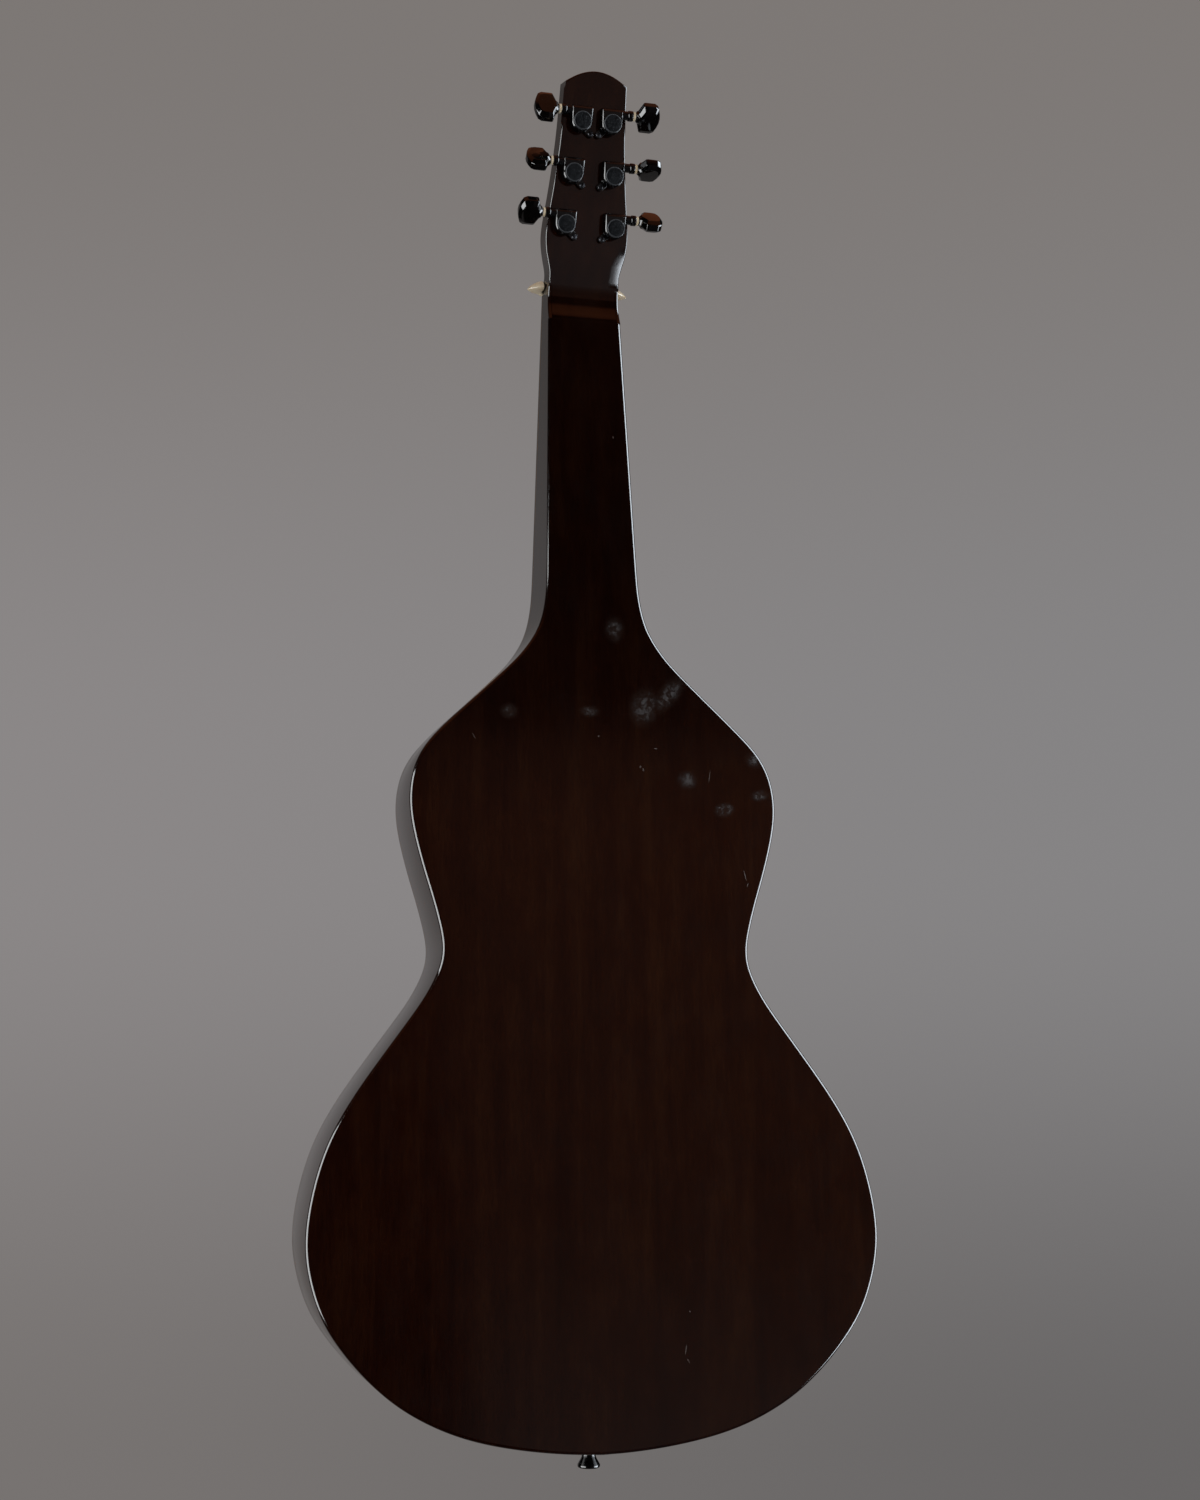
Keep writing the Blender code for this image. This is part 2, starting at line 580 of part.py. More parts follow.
def head_section(front, back, half):
    """Four points of a section: front and back are (y, up) pairs."""
    return [(-half, *front), (half, *front), (half, *back), (-half, *back)]


def make_headstock(frame):
    under = -TOP_THICKNESS - FIT_GAP
    inset = SIDE_THICKNESS + FIT_GAP
    sections = []
    for up in (HEAD_BLOCK_START, CREASE_AT):
        back = (BACK_THICKNESS + FIT_GAP - depth_at(up), up)
        sections.append(head_section((under, up), back, half_width(up) - inset))
    ups = [point[0] for point in RAMP if point[0] < NUT_AT - CUT_PAST] + [HEAD_BLOCK_END]
    for up in ups:
        sections.append(head_section((under, up), (-depth_at(up), up), half_width(min(up, NUT_AT)) - inset))
    # The shoulder in front of the sides' ends slants by a clearance, so that it is a face and no line.
    shoulder = HEAD_BLOCK_END + FIT_GAP
    sections.append(head_section((0, HEAD_BLOCK_END), (-depth_at(shoulder), shoulder), NUT_HALF))
    thick = Vector((0, 0, -HEAD_THICKNESS))
    for place, half in head_half_widths():
        tuner = head_frame(0, place)
        back, front = tuner.translation, tuner @ thick
        if place == 0:
            sections.append(head_section((0, front.z), (back.y, back.z), half))
            tuner = head_frame(0, 0.4 * MM)
            back, front = tuner.translation, tuner @ thick
        sections.append(head_section((front.y, front.z), (back.y, back.z), half))
    mesh = ladder(sections, "headstock")
    steps = []
    for number in range(1, 7):
        hole = cylinder(HEAD_HOLE_RADIUS, -2 * HEAD_THICKNESS, HEAD_THICKNESS, MEDIUM_SIDES)
        hole.transform(tuner_matrix(number))
        steps.append(("DIFFERENCE", hole))
    add("headstock", combine(mesh, steps, "headstock"), stained_wood(), frame)


def make_fretboard(frame):
    low, high = FIT_GAP, FIT_GAP + FRETBOARD_THICKNESS
    sections = []
    for half, up in ((FRETBOARD_HALF_LOW, FRETBOARD_START), (FRETBOARD_HALF_HIGH, NUT_AT)):
        sections.append([(-half, low, up), (half, low, up), (half, high, up), (-half, high, up)])
    add("fretboard", ladder(sections, "fretboard"), ebony(), frame)


def nut_profile(top):
    """The nut's section: its crest near the fretboard, its top falling towards the headstock."""
    start = NUT_AT + FIT_GAP
    end = start + NUT_THICKNESS
    crest = start + NUT_THICKNESS * 0.3
    return [
        (FIT_GAP, start),
        (top - NUT_FRONT_EASE, start),
        (top, crest),
        (top - NUT_BACK_FALL * 0.18, (crest + end) / 2),
        (top - NUT_BACK_FALL, end),
        (FIT_GAP, end),
    ]


def nut_ear(direction):
    """A horn past the neck's side: wide against it, drawn out to a point."""
    front, back, top = NUT_EAR_FRONT, NUT_EAR_BACK, NUT_EAR_TOP
    # (y, height over the neck's end) of the foot, round the horn
    foot = [
        (front, top * 0.4),
        (front * 0.85, top * 0.76),
        (front * 0.25, top),
        (-back * 0.36, top * 0.96),
        (-back * 0.82, top * 0.62),
        (-back, top * 0.3),
        (-back * 0.73, top * 0.17),
        (0, top * 0.2),
        (front * 0.63, top * 0.26),
    ]
    sections = []
    for reach, size in ((0, 1), (0.26, 0.88), (0.52, 0.7), (0.76, 0.46), (0.93, 0.22), (1, 0.08)):
        x = direction * (NUT_HALF + NUT_EAR_GAP + NUT_EAR_REACH * reach)
        ring = []
        for y, height in foot:
            up = NUT_EAR_TIP_UP + (height - NUT_EAR_TIP_UP) * size
            ring.append((x, NUT_EAR_FOOT_Y + (y - NUT_EAR_FOOT_Y) * size, NUT_AT + up))
        sections.append(ring)
    return ladder(sections, "nut_ear")


def make_nut(frame):
    """The nut is narrower at its crest; a cheek at each end joins it to its ear."""
    foot_half = NUT_HALF - NUT_FOOT_INSET
    draw = (foot_half - NUT_CREST_HALF) / (NUT_CREST - FIT_GAP)
    sections = []
    for side in (-1, 1):
        profile = nut_profile(NUT_CREST)
        sections.append([(side * (foot_half - (y - FIT_GAP) * draw), y, up) for y, up in profile])
    mesh = ladder(sections, "nut")
    steps = []
    inside, outside = NUT_CREST_HALF, NUT_HALF + NUT_EAR_GAP + FIT_GAP
    end = NUT_AT + FIT_GAP + NUT_THICKNESS
    for side in (-1, 1):
        low_x, high_x = sorted((side * inside, side * outside))
        cheek = box((low_x, FIT_GAP, NUT_AT + NUT_CHEEK_UP), (high_x, NUT_CHEEK_FRONT, end))
        steps += [("UNION", cheek), ("UNION", nut_ear(side))]
    add("nut", combine(mesh, steps, "nut"), bone(), frame)


def make_bridge(frame):
    low, top = FIT_GAP, FIT_GAP + BRIDGE_HEIGHT
    middle = BRIDGE_TOP_EDGE - BRIDGE_WIDTH / 2
    flat, tip = BRIDGE_FLAT_HALF, BRIDGE_LENGTH / 2
    between = (flat + tip) / 2
    shapes = [(flat, BRIDGE_HEIGHT, BRIDGE_WIDTH)]
    shoulder = BRIDGE_TIP_HEIGHT + (BRIDGE_HEIGHT - BRIDGE_TIP_HEIGHT) * 0.3
    shapes.append((between, shoulder, BRIDGE_WIDTH * 0.8))
    shapes.append((tip, BRIDGE_TIP_HEIGHT, BRIDGE_TIP_WIDTH))
    rows = [(-x, h, w) for x, h, w in shapes[::-1]] + shapes
    sections = []
    for x, height, width in rows:
        a, b, y = middle - width / 2, middle + width / 2, low + height
        sections.append([(x, low, a), (x, y, a), (x, y, b), (x, low, b)])
    mesh = ladder(sections, "bridge")
    half, wide = SADDLE_LENGTH / 2 + FIT_GAP, SADDLE_THICKNESS / 2 + FIT_GAP
    slot = box((-half, top - SADDLE_SLOT_DEPTH, SADDLE_AT - wide), (half, 2 * top, SADDLE_AT + wide))
    steps = [("DIFFERENCE", slot)]
    steps += [("DIFFERENCE", cutter) for cutter in string_cutters(-top, 2 * top)]
    add("bridge", combine(mesh, steps, "bridge"), ebony(), frame)


def make_saddle(frame):
    low, half = SADDLE_CREST - SADDLE_HEIGHT, SADDLE_THICKNESS / 2
    profile = [
        (low, SADDLE_AT - half),
        (SADDLE_CREST - SADDLE_EASE, SADDLE_AT - half),
        (SADDLE_CREST - SADDLE_EASE * 0.3, SADDLE_AT - half * 0.6),
        (SADDLE_CREST, SADDLE_AT),
        (SADDLE_CREST - SADDLE_EASE * 0.3, SADDLE_AT + half * 0.6),
        (SADDLE_CREST - SADDLE_EASE, SADDLE_AT + half),
        (low, SADDLE_AT + half),
    ]
    sections = [[(x, y, up) for y, up in profile] for x in (-SADDLE_LENGTH / 2, SADDLE_LENGTH / 2)]
    add("saddle", ladder(sections, "saddle"), bone(), frame)


def make_bridge_plate(frame):
    top = -TOP_THICKNESS - FIT_GAP
    low = top - BRIDGE_PLATE_THICKNESS
    middle = BRIDGE_TOP_EDGE - BRIDGE_WIDTH / 2
    half = BRIDGE_PLATE_WIDTH / 2
    mesh = box((-BRIDGE_PLATE_HALF, low, middle - half), (BRIDGE_PLATE_HALF, top, middle + half))
    steps = [("DIFFERENCE", cutter) for cutter in string_cutters(2 * low, -top)]
    add("bridge_plate", combine(mesh, steps, "bridge_plate"), spruce(), frame)


def make_bridge_pins(frame):
    seat = 2 * FIT_GAP + BRIDGE_HEIGHT
    tip = seat - PIN_LENGTH
    profile = [
        (0, tip),
        (PIN_TIP_RADIUS, tip),
        (PIN_RADIUS, seat),
        (PIN_HEAD_RADIUS, seat),
        (PIN_HEAD_RADIUS, seat + PIN_HEAD_HEIGHT * 0.45),
        (PIN_HEAD_RADIUS * 0.7, seat + PIN_HEAD_HEIGHT * 0.85),
        (0, seat + PIN_HEAD_HEIGHT),
    ]
    mesh = turned(profile, COARSE_SIDES, "bridge_pin", axis="Y")
    for number in range(1, 7):
        pin = add(f"bridge_pin_{number}", mesh, bone(), frame)
        pin.location = (string_x(number, STRING_SPACING_AT_BRIDGE), 0, PIN_AT)


# Braces


def x_brace(name, direction, notch_on_top, frame):
    """One bar of the cross, half let into the other where they meet at right angles."""
    top = -TOP_THICKNESS - FIT_GAP
    low, middle = top - BRACE_HEIGHT, top - BRACE_HEIGHT / 2
    half = BRACE_THICKNESS / 2
    cut = half + FIT_GAP
    tip = top - BRACE_TIP_HEIGHT
    edge = middle - FIT_GAP / 2 if notch_on_top else middle + FIT_GAP / 2
    a, b = -X_BRACE_LOWER_REACH, X_BRACE_UPPER_REACH
    upper = [(b, top), (a, top)]
    lower = [(a, tip), (a * 0.4, low), (b * 0.4, low), (b, tip)]
    if notch_on_top:
        upper = [(b, top), (cut, top), (cut, edge), (-cut, edge), (-cut, top), (a, top)]
    else:
        lower = [(a, tip), (a * 0.4, low), (-cut, low), (-cut, edge), (cut, edge), (cut, low)]
        lower += [(b * 0.4, low), (b, tip)]
    slant = math.sqrt(0.5)
    sections = []
    for off in (-half, half):
        ring = []
        for along, y in upper + lower:
            x = direction * (along - off) * slant
            ring.append((x, y, X_BRACE_AT + (along + off) * slant))
        sections.append(ring)
    add(name, ladder(sections, name), spruce(), frame)


def back_brace(name, up, frame):
    half = BRACE_THICKNESS / 2
    reach = min(half_width(up - half), half_width(up + half)) - SIDE_THICKNESS - BRACE_END_GAP
    sections = []
    tip, middle = BRACE_TIP_HEIGHT, BRACE_HEIGHT
    for x, height in ((-1, tip), (-0.6, middle), (0.6, middle), (1, tip)):
        ring = []
        for at in (up - half, up + half):
            low = BACK_THICKNESS + FIT_GAP - depth_at(at)
            ring += [(x * reach, low, at), (x * reach, low + height, at)]
        sections.append([ring[0], ring[1], ring[3], ring[2]])
    add(name, ladder(sections, name), spruce(), frame)


# Strap button


def make_strap_button(frame):
    length, rim, neck = STRAP_BUTTON_LENGTH, STRAP_BUTTON_RIM_RADIUS, STRAP_BUTTON_NECK_RADIUS
    bore = STRAP_SCREW_RADIUS + FIT_GAP
    start = -TAIL_DROP - FIT_GAP
    well = STRAP_SCREW_HEAD_RADIUS + FIT_GAP
    dish = length - STRAP_BUTTON_DISH
    profile = [
        (bore, start),
        (neck * 1.25, start),
        (neck, start - length * 0.25),
        (neck * 1.15, start - length * 0.5),
        (rim, start - length * 0.84),
        (rim, start - length * 0.94),
        (rim * 0.9, start - length),
        (well, start - length),
        (well, start - dish),
        (bore, start - dish),
    ]
    mesh = tube(profile[::-1], ROUND_SIDES, "strap_button")
    button = add("strap_button", mesh, black_metal(), frame)
    button.location = (0, -STRAP_BUTTON_DEPTH, 0)
    head_low = start - dish - FIT_GAP
    screw = [
        (0, head_low - STRAP_SCREW_HEAD_HEIGHT),
        (STRAP_SCREW_HEAD_RADIUS * 0.7, head_low - STRAP_SCREW_HEAD_HEIGHT),
        (STRAP_SCREW_HEAD_RADIUS, head_low - STRAP_SCREW_HEAD_HEIGHT * 0.5),
        (STRAP_SCREW_HEAD_RADIUS, head_low),
        (STRAP_SCREW_RADIUS, head_low),
        (STRAP_SCREW_RADIUS, head_low + STRAP_SCREW_LENGTH - STRAP_SCREW_POINT),
        (0, head_low + STRAP_SCREW_LENGTH),
    ]
    mesh = turned(screw, COARSE_SIDES, "strap_screw")
    screw = add("strap_screw", mesh, steel(), frame)
    screw.location = (0, -STRAP_BUTTON_DEPTH, 0)


# Tuners


def tuner_place(number):
    """(side, row): the first and sixth strings go to the posts nearest the nut."""
    side = -1 if number <= 3 else 1
    row = number - 1 if number <= 3 else 6 - number
    return side, row


def tuner_matrix(number):
    side, row = tuner_place(number)
    return head_frame(side * POST_ROWS_HALF[row], POST_ROWS_UP[row])


def housing_outline(side, top, inset=0.0):
    """The housing's outline in the headstock's plane, straight sides over a round foot."""
    half = HOUSING_HALF - inset
    points = [(-half, top), (half, top)]
    for k in range(HOUSING_FOOT_STEPS + 1):
        angle = math.pi * k / HOUSING_FOOT_STEPS
        points.append((half * math.cos(angle), -half * math.sin(angle)))
    return [(side * x, y) for x, y in points]


def barrel_top(height):
    """How far up the headstock the housing's round back reaches at a height."""
    over = max(height - WORM_OUT, 0)
    return WORM_UP + math.sqrt(BARREL_RADIUS**2 - over**2)


def lug_outline(side, height):
    """A tab from inside the housing to the round end that its screw goes through."""
    outward = Vector((-LUG_IN, -LUG_DOWN)).normalized()
    across = outward.orthogonal() * LUG_RADIUS
    root = outward * HOUSING_HALF / 2
    points = [root - across, root + across]
    bearing = math.atan2(across.y, across.x)
    for k in range(7):
        angle = bearing - k * math.pi / 6
        turned_to = Vector((math.cos(angle), math.sin(angle))) * LUG_RADIUS
        points.append(Vector((-LUG_IN, -LUG_DOWN)) + turned_to)
    return [(side * x, y, height) for x, y in points]


def housing_mesh(side):
    """A sealed housing: gear chamber and worm bore inside, round cap, screw lug and shaft collar."""
    base, top = FIT_GAP, FIT_GAP + HOUSING_HEIGHT
    sections = []
    heights = [base]
    rise = (top - HOUSING_BEVEL - WORM_OUT) / BARREL_STEPS
    heights += [WORM_OUT + rise * k for k in range(BARREL_STEPS + 1)]
    for height, inset in [(height, 0.0) for height in heights] + [(top, HOUSING_BEVEL)]:
        outline = housing_outline(side, barrel_top(height), inset)
        sections.append([(x, y, height) for x, y in outline])
    body = ladder(sections, "housing_body")
    cap_top = top + CAP_HEIGHT
    cap = turned(
        [
            (0, top - CUT_PAST),
            (CAP_RADIUS, top - CUT_PAST),
            (CAP_RADIUS, cap_top - CAP_BEVEL),
            (CAP_RADIUS - CAP_BEVEL, cap_top),
            (0, cap_top),
        ],
        ROUND_SIDES,
        "cap",
    )
    lug = ladder([lug_outline(side, height) for height in (base, base + LUG_HEIGHT)], "lug")
    ring = COLLAR_END - COLLAR_RING_LENGTH
    collar = turned(
        [
            (0, HOUSING_HALF - COLLAR_RADIUS),
            (COLLAR_RADIUS, HOUSING_HALF - COLLAR_RADIUS),
            (COLLAR_RADIUS, ring),
            (COLLAR_RING_RADIUS, ring),
            (COLLAR_RING_RADIUS, COLLAR_END),
            (0, COLLAR_END),
        ],
        COARSE_SIDES,
        "collar",
        axis="X",
    )
    collar.transform(Matrix.Scale(side, 4, (1, 0, 0)))
    collar.transform(Matrix.Translation((0, WORM_UP, WORM_OUT)))
    if side < 0:
        collar.flip_normals()
    chamber_low = WORM_OUT - GEAR_THICKNESS / 2 - RUN_GAP
    chamber_high = WORM_OUT + GEAR_THICKNESS / 2 + RUN_GAP
    chamber = cylinder(GEAR_RADIUS + GEAR_TOOTH_DEPTH, chamber_low, chamber_high, MEDIUM_SIDES)
    mouth = cylinder(POST_RADIUS + RUN_GAP, -base, chamber_low + CUT_PAST, COARSE_SIDES)
    inner_end = -side * (WORM_TURNS * WORM_LEAD / 2 + WORM_END + 2 * FIT_GAP)
    low, high = sorted((inner_end, side * (COLLAR_END + CUT_PAST)))
    bore = cylinder(WORM_RADIUS + RUN_GAP, low, high, LEAST_SIDES, axis="X", centre=(0, WORM_UP, WORM_OUT))
    steps = [("UNION", cap), ("UNION", lug), ("UNION", collar)]
    steps += [("DIFFERENCE", chamber), ("DIFFERENCE", mouth), ("DIFFERENCE", bore)]
    return combine(body, steps, "tuner_housing_left" if side < 0 else "tuner_housing_right")


def gear_mesh():
    low, high = WORM_OUT - GEAR_THICKNESS / 2, WORM_OUT + GEAR_THICKNESS / 2
    ring = []
    for k in range(2 * GEAR_TEETH):
        radius = GEAR_RADIUS if k % 2 else GEAR_RADIUS - GEAR_TOOTH_DEPTH
        angle = math.pi * (k + 0.5) / GEAR_TEETH
        ring.append((radius * math.cos(angle), radius * math.sin(angle)))
    return ladder([[(x, y, z) for x, y in ring] for z in (low, high)], "gear")


def post_mesh():
    face = -HEAD_THICKNESS
    tip = face - POST_RISE
    waist_low = face - WINDING_START_RISE + POST_WAIST_LOW_ROOM
    waist_high = tip + POST_HOLE_BELOW_TIP + POST_WAIST_TOP_ROOM
    profile = [
        (0, WORM_OUT + GEAR_THICKNESS / 2 - POST_INTO_GEAR),
        (POST_RADIUS, WORM_OUT + GEAR_THICKNESS / 2 - POST_INTO_GEAR),
        (POST_RADIUS, waist_low + POST_WAIST_EASE),
        (POST_WAIST_RADIUS, waist_low),
        (POST_WAIST_RADIUS, waist_high),
        (POST_RADIUS, waist_high - POST_WAIST_EASE * 2 / 3),
        (POST_RADIUS, tip + POST_TIP_BEVEL),
        (POST_RADIUS - POST_TIP_BEVEL, tip),
        (0, tip),
    ]
    shaft = turned(profile[::-1], COARSE_SIDES, "post")
    hole = cylinder(POST_HOLE_RADIUS, -2 * POST_RADIUS, 2 * POST_RADIUS, LEAST_SIDES, axis="X")
    hole.transform(Matrix.Rotation(math.radians(9), 4, "Z"))
    hole.transform(Matrix.Translation((0, 0, tip + POST_HOLE_BELOW_TIP)))
    return combine(shaft, [("UNION", gear_mesh()), ("DIFFERENCE", hole)], "string_post")


def worm_mesh(side):
    """The worm's right-hand thread on its shaft, which runs out through the collar into the button."""
    around, per_turn = LEAST_SIDES, WORM_STEPS
    length = WORM_TURNS * WORM_LEAD
    sections = []
    for k in range(WORM_TURNS * per_turn + 1):
        x = -length / 2 + k * WORM_LEAD / per_turn
        ring = []
        for i in range(around):
            angle = 2 * math.pi * i / around
            phase = angle - 2 * math.pi * x / WORM_LEAD
            radius = (WORM_RADIUS + WORM_CORE_RADIUS) / 2
            radius += (WORM_RADIUS - WORM_CORE_RADIUS) / 2 * math.cos(phase)
            ring.append((x, radius * math.cos(angle), radius * math.sin(angle)))
        sections.append(ring)

    def collar_ring(x, radius):
        angles = [2 * math.pi * i / around for i in range(around)]
        return [(x, radius * math.cos(a), radius * math.sin(a)) for a in angles]

    end = BUTTON_START + WORM_SHAFT_INTO_BUTTON
    start = -side * (length / 2 + WORM_END)
    tail, head = (start, end) if side > 0 else (-end, start)
    sections.insert(0, collar_ring(-length / 2 - WORM_RUN_OUT, WORM_SHAFT_RADIUS))
    sections.insert(0, collar_ring(tail, WORM_SHAFT_RADIUS))
    sections.append(collar_ring(length / 2 + WORM_RUN_OUT, WORM_SHAFT_RADIUS))
    sections.append(collar_ring(head, WORM_SHAFT_RADIUS))
    return ladder(sections, "worm_shaft", 40)


def button_mesh(side):
    """A flat-sided grip: square shoulders at its hub, a round outer end, bevelled faces."""
    half, length, hub = BUTTON_HALF_WIDTH, BUTTON_LENGTH, BUTTON_HUB_HALF
    upper = [
        (length * 0.03, hub),
        (length * 0.1, hub * 1.25),
        (length * 0.25, half * 0.96),
        (length * 0.31, half),
        (length * 0.72, half),
        (length * 0.86, half * 0.86),
        (length * 0.95, half * 0.52),
        (length, half * 0.16),
    ]
    outline = upper + [(u, -v) for u, v in upper[::-1]]
    middle = length * 0.55
    thick = BUTTON_HALF_THICKNESS
    sections = []
    for height, share in (
        (-thick, BUTTON_FACE_SHARE),
        (-thick * BUTTON_EDGE_SHARE, 1),
        (thick * BUTTON_EDGE_SHARE, 1),
        (thick, BUTTON_FACE_SHARE),
    ):
        ring = []
        for u, v in outline:
            along = middle + (u - middle) * share if u > middle else u + (middle - u) * (1 - share) * 0.6
            ring.append((side * (BUTTON_START + along), v * share, height))
        sections.append(ring)
    grip = ladder(sections, "button_grip")
    hub_profile = [(0, 0), (hub, 0), (hub, length * 0.3), (0, length * 0.3)]
    neck = turned(hub_profile, COARSE_SIDES, "hub", axis="X")
    neck.transform(Matrix.Scale(side, 4, (1, 0, 0)))
    neck.transform(Matrix.Translation((side * BUTTON_START, 0, 0)))
    if side < 0:
        neck.flip_normals()
    reach = WORM_SHAFT_INTO_BUTTON + FIT_GAP
    low, high = sorted((side * (BUTTON_START - CUT_PAST), side * (BUTTON_START + reach)))
    bore = cylinder(WORM_SHAFT_RADIUS + FIT_GAP, low, high, COARSE_SIDES, axis="X")
    return combine(grip, [("UNION", neck), ("DIFFERENCE", bore)], "tuner_button")


def ferrule_mesh():
    """A bushing let into the headstock's face, with a flange on it."""
    face = -HEAD_THICKNESS - FIT_GAP
    bore = POST_RADIUS + RUN_GAP
    profile = [
        (bore, face + FERRULE_LENGTH),
        (bore, face - FERRULE_FLANGE),
        (FERRULE_FLANGE_RADIUS * 0.85, face - FERRULE_FLANGE),
        (FERRULE_FLANGE_RADIUS, face - FERRULE_FLANGE * 0.6),
        (FERRULE_FLANGE_RADIUS, face),
        (FERRULE_RADIUS, face),
        (FERRULE_RADIUS, face + FERRULE_LENGTH),
    ]
    return tube(profile, MEDIUM_SIDES, "ferrule")


def make_tuners(guitar):
    housings = {side: housing_mesh(side) for side in (-1, 1)}
    worms = {side: worm_mesh(side) for side in (-1, 1)}
    buttons = {side: button_mesh(side) for side in (-1, 1)}
    post, ferrule = post_mesh(), ferrule_mesh()
    for number in range(1, 7):
        side, _ = tuner_place(number)
        tuner = add_empty(f"tuner_{number}", tuner_matrix(number), guitar)
        add(f"tuner_housing_{number}", housings[side], black_metal(), tuner)
        add(f"string_post_{number}", post, steel(), tuner)
        add(f"ferrule_{number}", ferrule, black_metal(), tuner)
        shaft_at = Matrix.Translation((0, WORM_UP, WORM_OUT))
        shaft = add_empty(f"tuner_shaft_{number}", shaft_at, tuner)
        add(f"worm_shaft_{number}", worms[side], steel(), shaft)
        button = add(f"tuner_button_{number}", buttons[side], black_plastic(), shaft)
        button.rotation_euler.x = math.radians(BUTTON_TURNS[number])


# Strings


def eased(before, corner, after, reach, steps=2):
    """Points of a short curve that rounds a corner of a route."""
    a = corner + (before - corner).normalized() * reach
    c = corner + (after - corner).normalized() * reach
    found = []
    for k in range(steps + 1):
        t = k / steps
        found.append(a * (1 - t) ** 2 + corner * 2 * t * (1 - t) + c * t**2)
    return found


def winding(number, nut_point, radius):
    """Turns round a post, from where the string from the nut touches it, and the cut end."""
    frame = tuner_matrix(number)
    side, _ = tuner_place(number)
    start = frame.inverted() @ nut_point
    reach = POST_WAIST_RADIUS + FIT_GAP + radius
    height = -HEAD_THICKNESS - WINDING_START_RISE
    bearing = math.atan2(start.y, start.x)
    spread = math.acos(reach / math.hypot(start.x, start.y))
    touches = sorted((bearing + spread, bearing - spread), key=lambda a: side * math.cos(a))
    first = touches[0]
    arriving = Vector((reach * math.cos(first) - start.x, reach * math.sin(first) - start.y))
    turn = 1 if arriving.dot(Vector((-math.sin(first), math.cos(first)))) > 0 else -1
    pitch = 2 * radius + WINDING_GAP
    points = []
    for k in range(WINDING_TURNS * LOOP_POINTS + 1):
        share = k / LOOP_POINTS
        angle = first + turn * 2 * math.pi * share
        points.append(Vector((reach * math.cos(angle), reach * math.sin(angle), height - pitch * share)))
    leaving = (points[-1] - points[-2]).normalized()
    points.append(points[-1] + leaving * STRING_TAIL)
    return [frame @ point for point in points]


def string_route(number):
    """(point, thickness share) pairs from the ball end to the cut end at the post."""
    radius = STRING_DIAMETERS[number - 1] / 2
    x = string_x(number, STRING_SPACING_AT_BRIDGE)
    below = -TOP_THICKNESS - BRIDGE_PLATE_THICKNESS - 2 * FIT_GAP
    ball = BALL_RADIUS / radius
    hole_top = Vector((x, BRIDGE_HEIGHT, STRING_HOLE_AT))
    ball_end = Vector((x, below - BALL_LENGTH, STRING_HOLE_AT))
    crest = Vector((x, SADDLE_CREST + FIT_GAP + radius, SADDLE_AT - SADDLE_THICKNESS * 0.25))
    nut_x = string_x(number, STRING_SPACING_AT_NUT)
    nut_up = NUT_AT + FIT_GAP + NUT_THICKNESS * 0.33
    nut = Vector((nut_x, NUT_CREST + FIT_GAP + radius, nut_up))
    turns = winding(number, nut, radius)
    route = [(ball_end, ball), (Vector((x, below, STRING_HOLE_AT)), ball)]
    route.append((Vector((x, below + BALL_NECK, STRING_HOLE_AT)), 1))
    route += [(point, 1) for point in eased(ball_end, hole_top, crest, STRING_EASE * 1.7)]
    route += [(point, 1) for point in eased(hole_top, crest, nut, STRING_EASE)]
    route += [(point, 1) for point in eased(crest, nut, turns[0], STRING_EASE)]
    route += [(point, 1) for point in turns]
    return route


def least_gap(points, diameter):
    """The smallest clear space between stretches of a tube more than half a loop apart."""
    line = []
    for here, there in zip(points, points[1:]):
        pieces = max(1, int((there - here).length / (0.3 * MM)))
        line += [here.lerp(there, k / pieces) for k in range(pieces)]
    line = np.array([tuple(point) for point in line])
    along = np.concatenate([[0], np.cumsum(np.linalg.norm(np.diff(line, axis=0), axis=1))])
    apart = math.pi * (POST_WAIST_RADIUS + diameter)
    near = line[along > along[-1] - 0.12]
    near_along = along[along > along[-1] - 0.12]
    distance = np.linalg.norm(near[:, None] - near[None], axis=2)
    distance[np.abs(near_along[:, None] - near_along[None]) < apart] = 1
    return distance.min() - diameter


def make_strings(frame):
    for number, diameter in enumerate(STRING_DIAMETERS, 1):
        route = string_route(number)
        curve = bpy.data.curves.new(f"string_{number}", "CURVE")
        curve.dimensions = "3D"
        curve.bevel_depth = diameter / 2
        curve.bevel_resolution = 1
        curve.use_fill_caps = True
        spline = curve.splines.new("POLY")
        spline.points.add(len(route) - 1)
        for point, (place, share) in zip(spline.points, route):
            point.co = (*place, 1)
            point.radius = share
        curve.materials.append(steel())
        string = bpy.data.objects.new(f"string_{number}", curve)
        bpy.context.scene.collection.objects.link(string)
        string.parent = frame
        gap = least_gap([place for place, _ in route], diameter)
        print(f"string_{number}: least gap between its turns {gap / MM:.2f} mm")


def main():
    clear_scene()
    guitar = add_empty("guitar", Matrix.Translation(-HANG_POINT))
    make_soundboard(guitar)
    make_back(guitar)
    make_side("left_side", -1, guitar)
    make_side("right_side", 1, guitar)
    make_tail_block(guitar)
    make_headstock(guitar)
    make_fretboard(guitar)
    make_nut(guitar)
    make_bridge(guitar)
    make_saddle(guitar)
    make_bridge_plate(guitar)
    make_bridge_pins(guitar)
    x_brace("x_brace_bass", 1, False, guitar)
    x_brace("x_brace_treble", -1, True, guitar)
    for name, up in BACK_BRACES_AT.items():
        back_brace(name, up, guitar)
    make_strap_button(guitar)
    make_tuners(guitar)
    make_strings(guitar)


main()
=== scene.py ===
# %% [markdown]
# # An acoustic lap steel guitar, seen from its back
# The fixed model comes first. It gives every solid in its place, in metres, with the point where
# the guitar hangs as the origin. What follows gives each piece its edges, its finish and its wear.

# %% Load the fixed model
import math
import random

import bpy
from mathutils import Matrix, Vector


